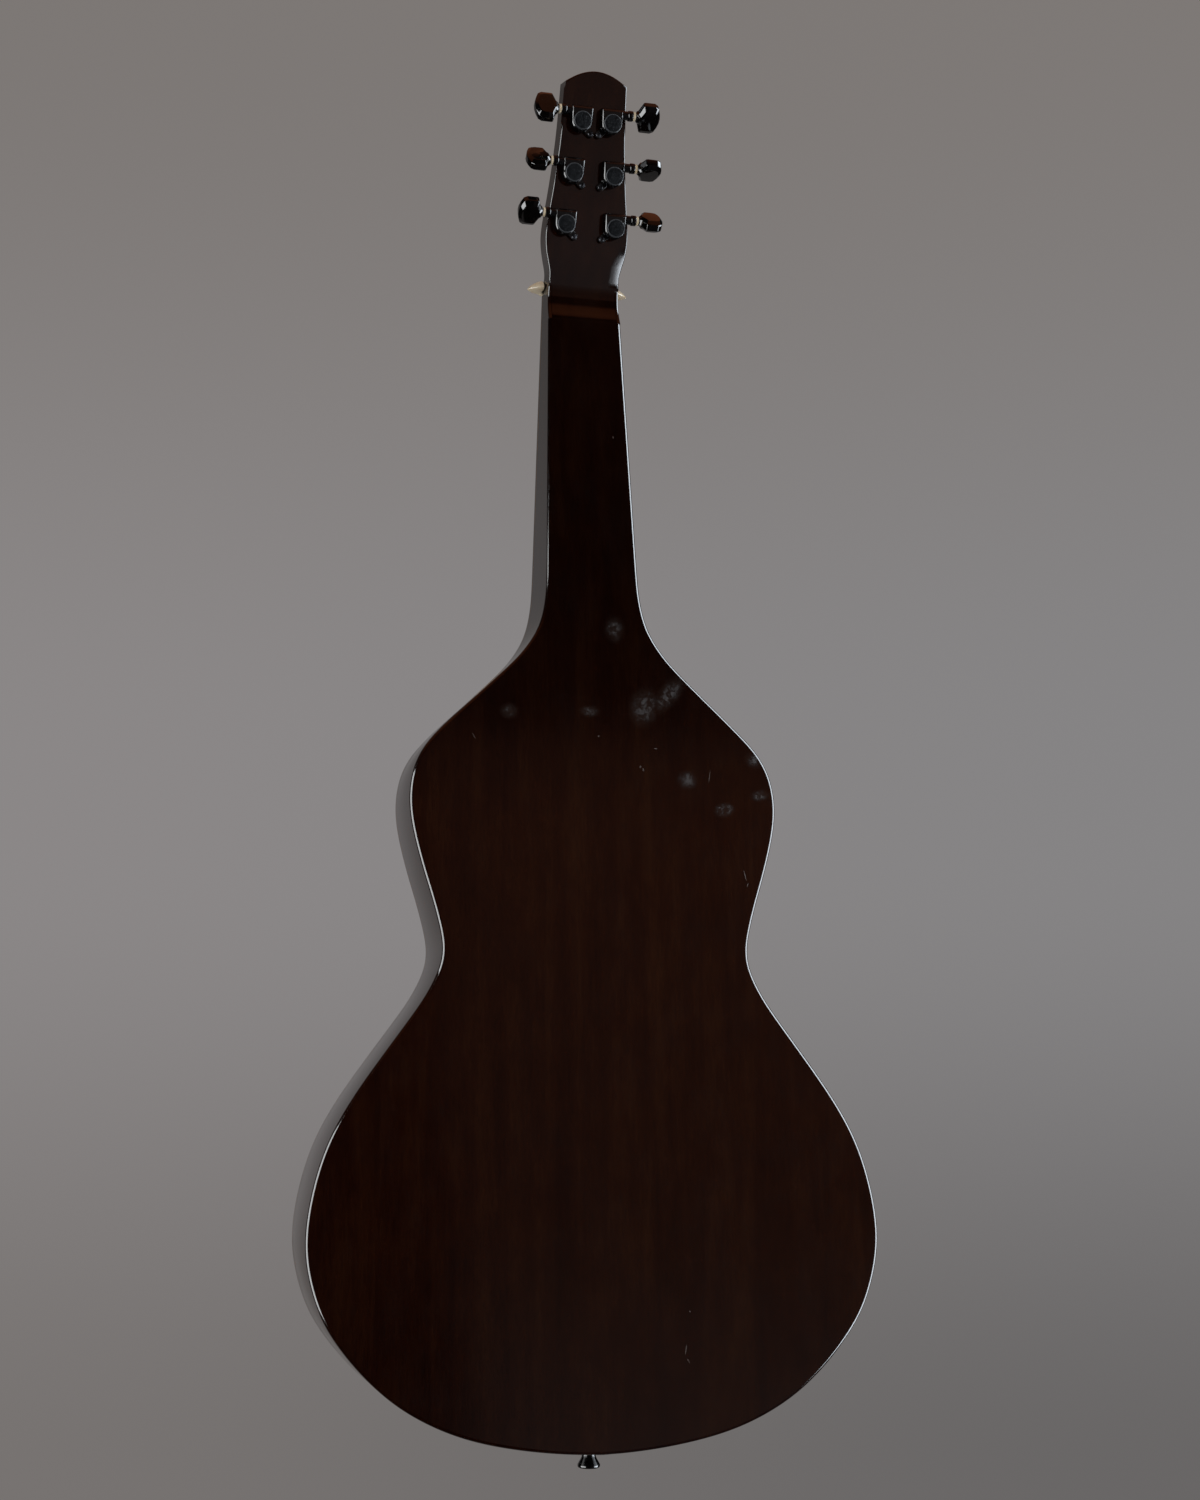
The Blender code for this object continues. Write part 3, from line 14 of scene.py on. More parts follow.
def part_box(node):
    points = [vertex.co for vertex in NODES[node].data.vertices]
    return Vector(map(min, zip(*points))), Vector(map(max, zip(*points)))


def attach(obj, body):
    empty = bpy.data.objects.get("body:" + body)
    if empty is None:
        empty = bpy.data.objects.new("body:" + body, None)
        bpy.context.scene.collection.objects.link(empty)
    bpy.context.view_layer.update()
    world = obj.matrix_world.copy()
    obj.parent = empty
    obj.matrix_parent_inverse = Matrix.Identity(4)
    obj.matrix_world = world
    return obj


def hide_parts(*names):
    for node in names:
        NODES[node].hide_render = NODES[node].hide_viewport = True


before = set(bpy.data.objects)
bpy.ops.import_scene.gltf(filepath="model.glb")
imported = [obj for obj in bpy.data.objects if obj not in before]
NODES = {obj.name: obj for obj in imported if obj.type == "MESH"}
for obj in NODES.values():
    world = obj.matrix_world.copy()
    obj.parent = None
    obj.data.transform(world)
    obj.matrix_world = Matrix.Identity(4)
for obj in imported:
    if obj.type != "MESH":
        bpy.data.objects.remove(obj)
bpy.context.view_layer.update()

# %% [markdown]
# ## Places on the guitar
# A maker measures a guitar from its tail and from the face of its top, so the places below are
# given as x across, y towards the strings and z up from the tail, in millimetres. One shift takes
# such a place to the model's own frame. A tuner has its own small frame on the sloping back of the
# headstock, because everything on it is square to that back.

# %% Frames of the guitar and of its tuners
MM = 0.001
HEAD_TILT = math.radians(15)
HEAD_START = Vector((0, -22.3, 795))
UPWARD = Vector((0, -math.sin(HEAD_TILT), math.cos(HEAD_TILT)))
OUTWARD = Vector((0, -math.cos(HEAD_TILT), -math.sin(HEAD_TILT)))
ROWS_UP = (41, 77, 113)
ROWS_HALF = (18, 14.6, 10.9)
WORM_UP, WORM_OUT = 7, 6.7
HANG = HEAD_START + UPWARD * (ROWS_UP[2] + WORM_UP) + OUTWARD * WORM_OUT


def at(x, y, z):
    """A place on the guitar, given in millimetres, in the model's frame."""
    return (Vector((x, y, z)) - HANG) * MM


def tuner_side(number):
    return -1 if number <= 3 else 1


def tuner_frame(number):
    """The frame on the headstock's back at a tuner's post: x across, y up it, z away from it."""
    row = number - 1 if number <= 3 else 6 - number
    start = HEAD_START + UPWARD * ROWS_UP[row] + Vector((tuner_side(number) * ROWS_HALF[row], 0, 0))
    made = Matrix.Identity(4)
    for column, axis in enumerate((Vector((1, 0, 0)), UPWARD, OUTWARD, at(*start))):
        for line in range(3):
            made[line][column] = axis[line]
    return made


print("the first tuner's post is at", [round(c, 4) for c in tuner_frame(1).translation])

# %% [markdown]
# ## How a finish is put together
# A finish is a small tree of nodes that ends in the Principled shader. These helpers add a node,
# wire it and give it its values, so that each finish below reads as a short list of what the real
# surface shows. Patterns read Object coordinates, which stay on the piece when it turns.

# %% Helpers for finishes


def new_finish(name, roughness, metallic=0.0, **more):
    """A material with its even values set on the shader itself."""
    made = bpy.data.materials.new(name)
    made.use_nodes = True
    shader = made.node_tree.nodes["Principled BSDF"]
    shader.inputs["Roughness"].default_value = roughness
    shader.inputs["Metallic"].default_value = metallic
    for socket, value in more.items():
        shader.inputs[socket.replace("_", " ")].default_value = value
    return made, made.node_tree, shader


def put(tree, kind, settings=None, **inputs):
    """Adds a node. An input is a value, or an output of another node that is wired to it."""
    made = tree.nodes.new(kind)
    for name, value in (settings or {}).items():
        setattr(made, name, value)
    for name, value in inputs.items():
        key = int(name[1:]) if name[0] == "i" and name[1:].isdigit() else name.replace("_", " ")
        if isinstance(value, bpy.types.NodeSocket):
            tree.links.new(value, made.inputs[key])
        else:
            made.inputs[key].default_value = value
    return made


def places(tree, stretch=(1, 1, 1), shift=(0, 0, 0)):
    """The piece's own coordinates in millimetres, stretched as a grain is."""
    coords = tree.nodes.get("Texture Coordinate") or tree.nodes.new("ShaderNodeTexCoord")
    scale = [s * 1000 for s in stretch]
    moved = put(tree, "ShaderNodeMapping", Vector=coords.outputs["Object"], Scale=scale, Location=shift)
    return moved.outputs["Vector"]


def noise(tree, where, size, detail=2.0, roughness=0.5, distortion=0.0):
    """Cloudy noise from 0 to 1 whose clouds are about that many millimetres across."""
    values = {"Scale": 1 / size, "Detail": detail, "Roughness": roughness, "Distortion": distortion}
    return put(tree, "ShaderNodeTexNoise", Vector=where, **values).outputs["Fac"]


def ramp(tree, factor, stops):
    """A colour band. Stops are (place, colour) with a colour of one or three numbers."""
    made = put(tree, "ShaderNodeValToRGB", Fac=factor)
    band = made.color_ramp
    while len(band.elements) < len(stops):
        band.elements.new(0.5)
    for element, (place, colour) in zip(band.elements, stops):
        element.position = place
        element.color = (*colour, 1) if hasattr(colour, "__len__") else (colour, colour, colour, 1)
    return made.outputs["Color"]


def blend(tree, factor, a, b, kind="MIX"):
    made = put(tree, "ShaderNodeMix", {"data_type": "RGBA", "blend_type": kind}, i0=factor, i6=a, i7=b)
    return made.outputs[2]


def sums(tree, kind, a, b=0.5, clamp=False):
    return put(tree, "ShaderNodeMath", {"operation": kind, "use_clamp": clamp}, i0=a, i1=b).outputs[0]


def fade(tree, value, start, end, low=0.0, high=1.0):
    """Goes smoothly from low to high while the value goes from start to end."""
    ranges = {"From_Min": start, "From_Max": end, "To_Min": low, "To_Max": high}
    made = put(tree, "ShaderNodeMapRange", {"interpolation_type": "SMOOTHSTEP"}, Value=value, **ranges)
    return made.outputs["Result"]


def bump(tree, shader, height, strength, depth):
    made = put(tree, "ShaderNodeBump", Strength=strength, Distance=depth * MM, Height=height)
    before = shader.inputs["Normal"].links
    if before:
        tree.links.new(before[0].from_socket, made.inputs["Normal"])
    tree.links.new(made.outputs["Normal"], shader.inputs["Normal"])


def spot(tree, centre, half, turn=0.0, soft=1.0):
    """1 inside a turned oval at a place on the guitar, falling to 0 at its rim."""
    coords = tree.nodes.get("Texture Coordinate") or tree.nodes.new("ShaderNodeTexCoord")
    settings = {"vector_type": "TEXTURE"}
    turned_by = (0, math.radians(turn), 0)
    inputs = {"Location": at(*centre), "Rotation": turned_by, "Scale": [h * MM for h in half]}
    moved = put(tree, "ShaderNodeMapping", settings, Vector=coords.outputs["Object"], **inputs)
    far = put(tree, "ShaderNodeVectorMath", {"operation": "LENGTH"}, i0=moved.outputs["Vector"])
    return fade(tree, far.outputs["Value"], 1, 1 - soft)


# %% [markdown]
# ## Stained and lacquered wood
# The back, the ribs and the headstock are mahogany under a dark red-brown stain and thin satin
# lacquer. One could paint the boards with a picture of wood. Layers of stretched noise are used
# instead: a fine grain, broad ribbons and short open pores all run up the guitar, and they stay
# sharp at any distance. The colour is darkest on the neck. The lacquer is nearly a mirror, so most of
# the brown seen on the body is the room in it, and only its roughness and slight waves are made
# here. A few finger marks and scratches dull it at the upper right.

# %% Lighter and darker zones of the colour up the guitar
# (height in millimetres, share of the light colour that shows there)
TONE_BY_HEIGHT = [
    (-10, 0.78),
    (60, 0.82),
    (160, 0.95),
    (300, 0.98),
    (410, 1.0),
    (470, 0.62),
    (545, 0.5),
    (760, 0.46),
    (800, 0.5),
    (830, 0.85),
    (955, 0.72),
]


def tone_by_height(tree):
    """How much of the light colour shows at each height of the guitar."""
    coords = tree.nodes.get("Texture Coordinate") or tree.nodes.new("ShaderNodeTexCoord")
    parts = put(tree, "ShaderNodeSeparateXYZ", Vector=coords.outputs["Object"])
    low, high = TONE_BY_HEIGHT[0][0], TONE_BY_HEIGHT[-1][0]
    ends = {"From_Min": at(0, 0, low).z, "From_Max": at(0, 0, high).z}
    share = put(tree, "ShaderNodeMapRange", Value=parts.outputs["Z"], **ends)
    stops = [((z - low) / (high - low), tone) for z, tone in TONE_BY_HEIGHT]
    return ramp(tree, share.outputs["Result"], stops)


# %% Wood grain shared by the stained pieces
def wood_grain(tree):
    """(light and dark of the grain, pores, fine lines), all running up the guitar."""
    fine = noise(tree, places(tree, (1, 1, 0.03)), 0.9, 3, 0.6)
    ribbon = noise(tree, places(tree, (1, 1, 0.04), (7, 3, 1)), 13, 2, 0.5, 0.5)
    cloud = noise(tree, places(tree, (1, 1, 0.5), (2, 9, 4)), 14, 4, 0.62)
    pores = noise(tree, places(tree, (1, 1, 0.06), (5, 1, 8)), 0.42, 1, 0.4)
    pores = fade(tree, pores, 0.60, 0.72)
    mixed = sums(tree, "MULTIPLY", fine, 0.28)
    mixed = sums(tree, "ADD", mixed, sums(tree, "MULTIPLY", ribbon, 0.42))
    mixed = sums(tree, "ADD", mixed, sums(tree, "MULTIPLY", cloud, 0.3))
    return mixed, pores, fine


# %% Small marks of use
def add_marks(tree, colour, marks, tone, strength):
    """Lays small soft-edged marks of one tone over a colour."""
    total = None
    for centre, half, turn, soft in marks:
        mark = spot(tree, centre, half, turn, soft)
        total = mark if total is None else sums(tree, "MAXIMUM", total, mark)
    return blend(tree, sums(tree, "MULTIPLY", total, strength), colour, tone), total


# (centre, half sizes in millimetres, turn in degrees, softness)
SMUDGES = [
    ((34, -56, 486), (13, 60, 17), 15, 0.8),
    ((52, -56, 496), (9, 60, 22), 40, 0.9),
    ((64, -58, 437), (9, 60, 8), 0, 0.8),
    ((90, -59, 417), (9, 60, 6), -12, 0.6),
    ((116, -58, 428), (9, 60, 5), -10, 0.8),
    ((-4, -56, 482), (9, 60, 5), 0, 0.9),
    ((-60, -56, 480), (8, 60, 7), 0, 0.9),
    ((14, -54, 540), (9, 60, 12), 0, 0.9),
    ((112, -58, 452), (9, 60, 7), 30, 0.9),
]
SCRATCHES = [
    ((103.8, -61, 372.5), (0.4, 60, 4.6), -14, 0.5),
    ((105.5, -61, 366), (0.3, 60, 1.8), 25, 0.5),
    ((55.9, -74.6, 62), (0.4, 60, 4.0), 10, 0.5),
    ((57.5, -74.6, 55), (0.3, 60, 2.2), -30, 0.5),
    ((59, -73.5, 86), (0.6, 60, 0.6), 0, 0.5),
    ((2, -56.5, 465), (1.0, 60, 0.5), 5, 0.5),
    ((31, -57.5, 445), (0.7, 60, 1.0), 20, 0.5),
    ((33, -57.5, 443), (0.5, 60, 1.4), -20, 0.5),
    ((42, -57, 458), (1.4, 60, 0.4), 0, 0.5),
    ((80, -58.5, 440), (0.25, 60, 6.0), 8, 0.6),
    ((-84, -57.5, 462), (0.3, 60, 3.0), -30, 0.6),
    ((17.8, -36, 681), (0.5, 60, 1.0), 0, 0.5),
]


# %% The stained wood
def stained_wood(name, marked=False, crowned=False, hand_worn=False):
    made, tree, shader = new_finish(name, 0.1)
    grain, pores, fine = wood_grain(tree)
    dark, mid, light = (0.0070, 0.0010, 0.0003), (0.0122, 0.0024, 0.0007), (0.0205, 0.0058, 0.0018)
    colour = ramp(tree, grain, [(0.36, dark), (0.5, mid), (0.66, light)])
    colour = blend(tree, sums(tree, "MULTIPLY", pores, 0.4), colour, (0.002, 0.0004, 0.0002, 1))
    # the colour is made darker on the neck and lighter on the lower body and headstock, by height alone
    colour = blend(tree, 1.0, colour, tone_by_height(tree), "MULTIPLY")
    haze = noise(tree, places(tree, (1, 1, 0.7), (3, 3, 3)), 30, 3, 0.6)
    gloss = sums(tree, "ADD", fade(tree, haze, 0.35, 0.7, 0.07, 0.11), sums(tree, "MULTIPLY", pores, 0.05))
    if marked:
        broken = fade(tree, noise(tree, places(tree, shift=(4, 4, 4)), 4, 3, 0.7), 0.35, 0.65)
        colour, smudge = add_marks(tree, colour, SMUDGES, (0.03, 0.02, 0.017, 1), 0.42)
        colour, scratch = add_marks(tree, colour, SCRATCHES, (0.08, 0.055, 0.045, 1), 0.75)
        gloss = sums(tree, "ADD", gloss, sums(tree, "MULTIPLY", sums(tree, "MULTIPLY", smudge, broken), 0.3))
        gloss = sums(tree, "ADD", gloss, sums(tree, "MULTIPLY", scratch, 0.3))
    tree.links.new(colour, shader.inputs["Base Color"])
    tree.links.new(gloss, shader.inputs["Roughness"])
    bump(tree, shader, sums(tree, "SUBTRACT", fine, pores), 0.06, 0.04)
    bump(tree, shader, noise(tree, places(tree), 30, 1), 0.05, 0.3)
    if crowned:
        # the bent ribs are very slightly rounded across, highest halfway down
        coords = tree.nodes["Texture Coordinate"]
        parts = put(tree, "ShaderNodeSeparateXYZ", Vector=coords.outputs["Object"]).outputs
        across = sums(tree, "SUBTRACT", parts["Y"], at(0, -36, 0).y)
        crown = sums(tree, "MULTIPLY", sums(tree, "MULTIPLY", across, across), -RIB_CROWN)
        on_body = fade(tree, parts["Z"], at(0, 0, 560).z, at(0, 0, 460).z)
        bump(tree, shader, sums(tree, "MULTIPLY", crown, on_body), 1.0, 1000)
    if hand_worn:
        # beside the nut a hand has rounded the edges over several millimetres
        coords = tree.nodes["Texture Coordinate"]
        parts = put(tree, "ShaderNodeSeparateXYZ", Vector=coords.outputs["Object"]).outputs
        low, high = at(0, 0, 795).z, at(0, 0, 835).z
        up = put(tree, "ShaderNodeMapRange", Value=parts["Z"], From_Min=low, From_Max=high).outputs["Result"]
        half = ramp(tree, up, [(0, 0.248), (0.35, 0.262), (0.7, 0.325), (0.85, 0.335), (1, 0.335)])
        inner = sums(tree, "SUBTRACT", sums(tree, "MULTIPLY", half, 0.1), WORN_WIDTH * MM)
        past = sums(tree, "MAXIMUM", sums(tree, "SUBTRACT", parts["X"], inner), 0.0)
        drop_off = sums(tree, "MULTIPLY", sums(tree, "MULTIPLY", past, past), -WORN_CURVE)
        beside_nut = sums(tree, "MULTIPLY", fade(tree, up, 0.75, 0.5), fade(tree, up, 0.0, 0.1))
        bump(tree, shader, sums(tree, "MULTIPLY", drop_off, beside_nut), 1.0, 1000)
        rubbed = sums(tree, "MULTIPLY", fade(tree, past, 0.0, 0.003), beside_nut)
        dulled = sums(tree, "ADD", gloss, sums(tree, "MULTIPLY", rubbed, 0.2))
        tree.links.new(dulled, shader.inputs["Roughness"])
    return made


RIB_CROWN = 0.8
WORN_WIDTH, WORN_CURVE = 9, 20
back_wood = stained_wood("stained_mahogany_back", marked=True)
side_wood = stained_wood("stained_mahogany_ribs", crowned=True)
head_wood = stained_wood("stained_mahogany_headstock", hand_worn=True)
print("stained wood:", [m.name for m in (back_wood, side_wood, head_wood)])

# %% [markdown]
# ## Pale woods and fretwood
# The top and the braces are spruce: close straight grain lines with a soft silky figure between
# them. The fretboard and bridge are near-black rosewood with brown streaks and open pores.


# %% Spruce for the top and what is inside
def spruce(name, honey=1.0, across=False):
    made, tree, shader = new_finish(name, 0.42)
    long = (0.03, 1, 1) if across else (1, 1, 0.03)
    lines = noise(tree, places(tree, long), 1.5, 2, 0.55, 0.2)
    silk = noise(tree, places(tree, (0.5, 1, 0.5), (4, 4, 4)), 9, 2)
    winter = ramp(tree, lines, [(0.35, (0.36, 0.19, 0.075)), (0.52, (0.56, 0.36, 0.165)), (0.7, (0.66, 0.45, 0.23))])
    colour = blend(tree, 0.35, winter, ramp(tree, silk, [(0.3, (0.47, 0.29, 0.13)), (0.7, (0.7, 0.5, 0.28))]))
    if honey != 1:
        colour = blend(tree, 1.0, colour, (honey, honey * 0.82, honey * 0.6, 1), "MULTIPLY")
    tree.links.new(colour, shader.inputs["Base Color"])
    tree.links.new(fade(tree, silk, 0.3, 0.7, 0.3, 0.42), shader.inputs["Roughness"])
    bump(tree, shader, lines, 0.15, 0.06)
    return made, tree, shader, colour


brace_wood, _, _, _ = spruce("bare_spruce_braces")
plate_wood, _, _, _ = spruce("bare_spruce_bridge_plate", across=True)


def rosewood(name):
    made, tree, shader = new_finish(name, 0.38)
    streaks = noise(tree, places(tree, (1, 1, 0.04)), 4, 3, 0.6, 0.8)
    pores = fade(tree, noise(tree, places(tree, (1, 1, 0.07), (3, 1, 2)), 0.5, 1), 0.58, 0.68)
    brown = ramp(tree, streaks, [(0.35, (0.006, 0.004, 0.003)), (0.55, (0.02, 0.01, 0.006)), (0.75, (0.045, 0.02, 0.011))])
    colour = blend(tree, sums(tree, "MULTIPLY", pores, 0.7), brown, (0.003, 0.002, 0.0015, 1))
    tree.links.new(colour, shader.inputs["Base Color"])
    tree.links.new(fade(tree, streaks, 0.3, 0.7, 0.32, 0.45), shader.inputs["Roughness"])
    bump(tree, shader, sums(tree, "SUBTRACT", streaks, pores), 0.25, 0.1)
    return made


fretwood = rosewood("dark_rosewood")
print("pale woods and", fretwood.name)

# %% [markdown]
# ## Bone
# The nut, saddle and bridge pins are bone: warm off-white, a little light goes into it, and short
# brown flecks and faint yellow clouds keep it from looking like plastic.


# %% Bone
def bone(name):
    made, tree, shader = new_finish(name, 0.33, Subsurface_Weight=0.12, Subsurface_Scale=0.002)
    shader.inputs["Subsurface Radius"].default_value = (1.0, 0.6, 0.35)
    clouds = noise(tree, places(tree, (1, 1, 1)), 5, 3, 0.6)
    flecks = fade(tree, noise(tree, places(tree, (0.3, 1, 1), (1, 2, 3)), 0.45, 2), 0.62, 0.75)
    cream = ramp(tree, clouds, [(0.3, (0.60, 0.48, 0.31)), (0.55, (0.74, 0.62, 0.44)), (0.75, (0.80, 0.69, 0.51))])
    colour = blend(tree, sums(tree, "MULTIPLY", flecks, 0.5), cream, (0.36, 0.25, 0.13, 1))
    tree.links.new(colour, shader.inputs["Base Color"])
    tree.links.new(fade(tree, clouds, 0.3, 0.7, 0.28, 0.4), shader.inputs["Roughness"])
    bump(tree, shader, clouds, 0.1, 0.05)
    return made


cream_bone = bone("polished_bone")
print(cream_bone.name)

# %% [markdown]
# ## Black enamel, cap discs and button plastic
# The tuners are cast metal under black enamel, with specks of dust here and there. The disc on each cap
# is a separate pressed plate with a dull blue-grey bloom. The buttons are moulded black plastic,
# polished by fingers, so they reflect the room sharply.


# %% Enamel, disc and plastic
def enamel(name):
    made, tree, shader = new_finish(name, 0.16)
    peel = noise(tree, places(tree), 1.4, 2)
    dust = fade(tree, noise(tree, places(tree, shift=(2, 2, 2)), 0.7, 3, 0.7), 0.6, 0.85)
    colour = blend(tree, sums(tree, "MULTIPLY", dust, 0.3), (0.0018, 0.0018, 0.0021, 1), (0.02, 0.02, 0.022, 1))
    tree.links.new(colour, shader.inputs["Base Color"])
    gloss = sums(tree, "ADD", fade(tree, peel, 0.3, 0.7, 0.12, 0.17), sums(tree, "MULTIPLY", dust, 0.12))
    tree.links.new(gloss, shader.inputs["Roughness"])
    bump(tree, shader, peel, 0.08, 0.03)
    return made


def cap_disc_finish(name, worn=0.0):
    """Dull pressed metal with a cold bloom; worn lays a lighter grey evenly all over it, a painted highlight."""
    made, tree, shader = new_finish(name, 0.5, Specular_IOR_Level=0.12)
    bloom = noise(tree, places(tree), 1.6, 3, 0.65)
    specks = fade(tree, noise(tree, places(tree, shift=(5, 1, 3)), 0.6, 2, 0.7), 0.56, 0.7)
    blue_grey = ramp(tree, bloom, [(0.35, (0.0010, 0.0016, 0.0027)), (0.55, (0.0026, 0.0036, 0.0052)), (0.7, (0.007, 0.0088, 0.0115))])
    # worn paints the lighter grey over the whole piece: painted highlight, not wear
    colour = blend(tree, sums(tree, "MAXIMUM", sums(tree, "MULTIPLY", specks, 0.3), worn), blue_grey, (0.10, 0.108, 0.12, 1))
    tree.links.new(colour, shader.inputs["Base Color"])
    tree.links.new(fade(tree, bloom, 0.3, 0.7, 0.30, 0.42), shader.inputs["Roughness"])
    bump(tree, shader, specks, 0.3, 0.06)
    return made


def plastic(name):
    made, tree, shader = new_finish(name, 0.12)
    rub = noise(tree, places(tree), 3.2, 3, 0.6)
    fine = fade(tree, noise(tree, places(tree, (1, 0.15, 0.4), (1, 5, 2)), 0.3, 2), 0.66, 0.74)
    colour = ramp(tree, rub, [(0.3, (0.0012, 0.001, 0.001)), (0.7, (0.0022, 0.0018, 0.0016))])
    tree.links.new(colour, shader.inputs["Base Color"])
    gloss = sums(tree, "ADD", fade(tree, rub, 0.35, 0.75, 0.05, 0.09), sums(tree, "MULTIPLY", fine, 0.08))
    tree.links.new(gloss, shader.inputs["Roughness"])
    bump(tree, shader, rub, 0.06, 0.05)
    return made


black_enamel = enamel("black_enamel")
cap_disc_black = cap_disc_finish("dull_cap_disc")
# the cap's rim gets a lighter grey all round: a painted highlight for the thin light line along it
cap_rim_painted_highlight = cap_disc_finish("painted_highlight_cap_rim", worn=0.45)
button_plastic = plastic("polished_black_plastic")
print(black_enamel.name, cap_disc_black.name, button_plastic.name)

# %% [markdown]
# ## Bright metal
# Posts and worms are plated steel with fine turning lines. The plain strings are bare wire, and
# the wound ones have a bronze wire laid round them, turn against turn.


# %% Steel and string finishes
def metal(name, colour, roughness, turning=0.0, wire_pitch=0.0):
    made, tree, shader = new_finish(name, roughness, 1.0)
    smears = noise(tree, places(tree), 3, 3, 0.6)
    low = tuple(c * 0.72 for c in colour)
    tree.links.new(ramp(tree, smears, [(0.3, low), (0.65, colour)]), shader.inputs["Base Color"])
    tree.links.new(fade(tree, smears, 0.3, 0.75, roughness * 0.8, roughness * 1.5), shader.inputs["Roughness"])
    if turning:
        bump(tree, shader, noise(tree, places(tree, (0.02, 0.3, 1)), turning, 1), 0.25, 0.03)
    if wire_pitch:
        settings = {"wave_type": "BANDS", "bands_direction": "Z", "wave_profile": "SIN"}
        winding = put(tree, "ShaderNodeTexWave", settings, Vector=places(tree), Scale=0.314 / wire_pitch)
        bump(tree, shader, winding.outputs["Fac"], 0.8, wire_pitch * 0.4)
    return made


plated_steel = metal("plated_steel", (0.62, 0.62, 0.64), 0.2, turning=0.15)
dark_steel = metal("blackened_steel", (0.055, 0.055, 0.06), 0.34)
bare_wire = metal("plain_string_wire", (0.66, 0.66, 0.67), 0.24)
bronze_wire = metal("wound_string_bronze", (0.64, 0.40, 0.19), 0.3, wire_pitch=0.3)
print(plated_steel.name, bare_wire.name, bronze_wire.name)

# %% [markdown]
# ## Working on meshes
# A copy of a solid starts as loose triangles, so it is merged and its flat faces are joined
# again. Edges are then chosen in code, by where they lie and which way their faces look, and the
# bevel tool rounds them as a scraper and sandpaper round real ones.


# %% Helpers for meshes
def only(obj):
    """Selects this object alone and makes it the active one."""
    if bpy.context.object and bpy.context.object.mode != "OBJECT":
        bpy.ops.object.mode_set(mode="OBJECT")
    bpy.ops.object.select_all(action="DESELECT")
    obj.select_set(True)
    bpy.context.view_layer.objects.active = obj
    return obj


def in_edit(obj, mode="VERT", everything=True):
    only(obj)
    kinds = ("VERT", "EDGE", "FACE")
    bpy.context.tool_settings.mesh_select_mode = [mode == kind for kind in kinds]
    bpy.ops.object.mode_set(mode="EDIT")
    if everything:
        bpy.ops.mesh.select_all(action="SELECT")


def out_of_edit():
    bpy.ops.object.mode_set(mode="OBJECT")


def copy_of(node, name, flatten=0.4):
    """A new object with a merged copy of a solid's mesh."""
    mesh = NODES[node].data.copy()
    mesh.name = name
    mesh.materials.clear()
    made = bpy.data.objects.new(name, mesh)
    bpy.context.scene.collection.objects.link(made)
    in_edit(made)
    bpy.ops.mesh.remove_doubles(threshold=0.00001)
    bpy.ops.mesh.dissolve_limited(angle_limit=math.radians(flatten))
    bpy.ops.mesh.select_all(action="SELECT")
    bpy.ops.mesh.normals_make_consistent(inside=False)
    out_of_edit()
    return made


def pick_edges(obj, rule):
    """Selects the edges whose middle and two face normals fit a rule, and says how many."""
    mesh = obj.data
    faces = {}
    for face in mesh.polygons:
        for key in face.edge_keys:
            faces.setdefault(key, []).append(face)
    for group in (mesh.vertices, mesh.edges, mesh.polygons):
        group.foreach_set("select", [False] * len(group))
    count = 0
    for edge in mesh.edges:
        sides = faces.get(tuple(sorted(edge.vertices)), [])
        if len(sides) != 2:
            continue
        a, b = (mesh.vertices[v].co for v in edge.vertices)
        middle = (a + b) / 2 / MM + HANG
        if rule(middle, sides[0].normal, sides[1].normal):
            edge.select = True
            count += 1
    return count


def round_edges(obj, width, segments, rule, clamp=True):
    """Bevels the edges that fit the rule by a width in millimetres."""
    only(obj)
    count = pick_edges(obj, rule)
    if not count:
        return 0
    in_edit(obj, "EDGE", everything=False)
    bpy.ops.mesh.bevel(offset=width * MM, segments=segments, affect="EDGES", clamp_overlap=clamp)
    out_of_edit()
    return count


def smooth_outline(obj, stays, cuts=3, passes=12):
    """Cuts a solid's long outline edges finer and draws their corners into one curve."""
    def is_outline(middle, one, two):
        return (abs(one.y) > 0.5) != (abs(two.y) > 0.5) and not stays(middle)

    only(obj)
    pick_edges(obj, is_outline)
    for edge in obj.data.edges:
        a, b = (obj.data.vertices[v].co for v in edge.vertices)
        edge.select = edge.select and (a - b).length > 4 * MM
    in_edit(obj, "EDGE", everything=False)
    bpy.ops.mesh.subdivide(number_cuts=cuts)
    out_of_edit()
    pick_edges(obj, is_outline)
    beside = {}
    for edge in obj.data.edges:
        if edge.select:
            a, b = edge.vertices
            beside.setdefault(a, []).append(b)
            beside.setdefault(b, []).append(a)
    points = obj.data.vertices

    def may_move(v, near):
        if len(near) != 2 or stays(points[v].co / MM + HANG):
            return False
        before, after = (points[near[0]].co - points[v].co, points[v].co - points[near[1]].co)
        return before.angle(after, 0) < math.radians(20)

    chain = {v: near for v, near in beside.items() if may_move(v, near)}
    for _ in range(passes):
        drawn = {v: (points[v].co + (points[a].co + points[b].co) / 2) / 2 for v, (a, b) in chain.items()}
        for v, place in drawn.items():
            points[v].co = place
    obj.data.update()
    return len(chain)


def sharp(degrees):
    """A rule that takes every edge at which two faces meet at more than an angle."""
    least = math.radians(degrees)
    return lambda middle, one, two: one.angle(two, 0) > least


def tidy_shading(obj, degrees=35, weighted=True):
    """Smooth shading up to an angle, with normals that keep flat faces flat."""
    only(obj)
    bpy.ops.object.shade_smooth_by_angle(angle=math.radians(degrees))
    if weighted:
        modifier = obj.modifiers.new("even_normals", "WEIGHTED_NORMAL")
        modifier.keep_sharp = True
        modifier.weight = 60
        bpy.ops.object.modifier_apply(modifier=modifier.name)


def fit(obj, finish, body="guitar", stands_for=()):
    """Gives a piece its finish and its body, and hides the solids it stands for."""
    if not obj.data.materials:
        obj.data.materials.append(finish)
    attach(obj, body)
    if stands_for:
        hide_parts(*stands_for)
    return obj


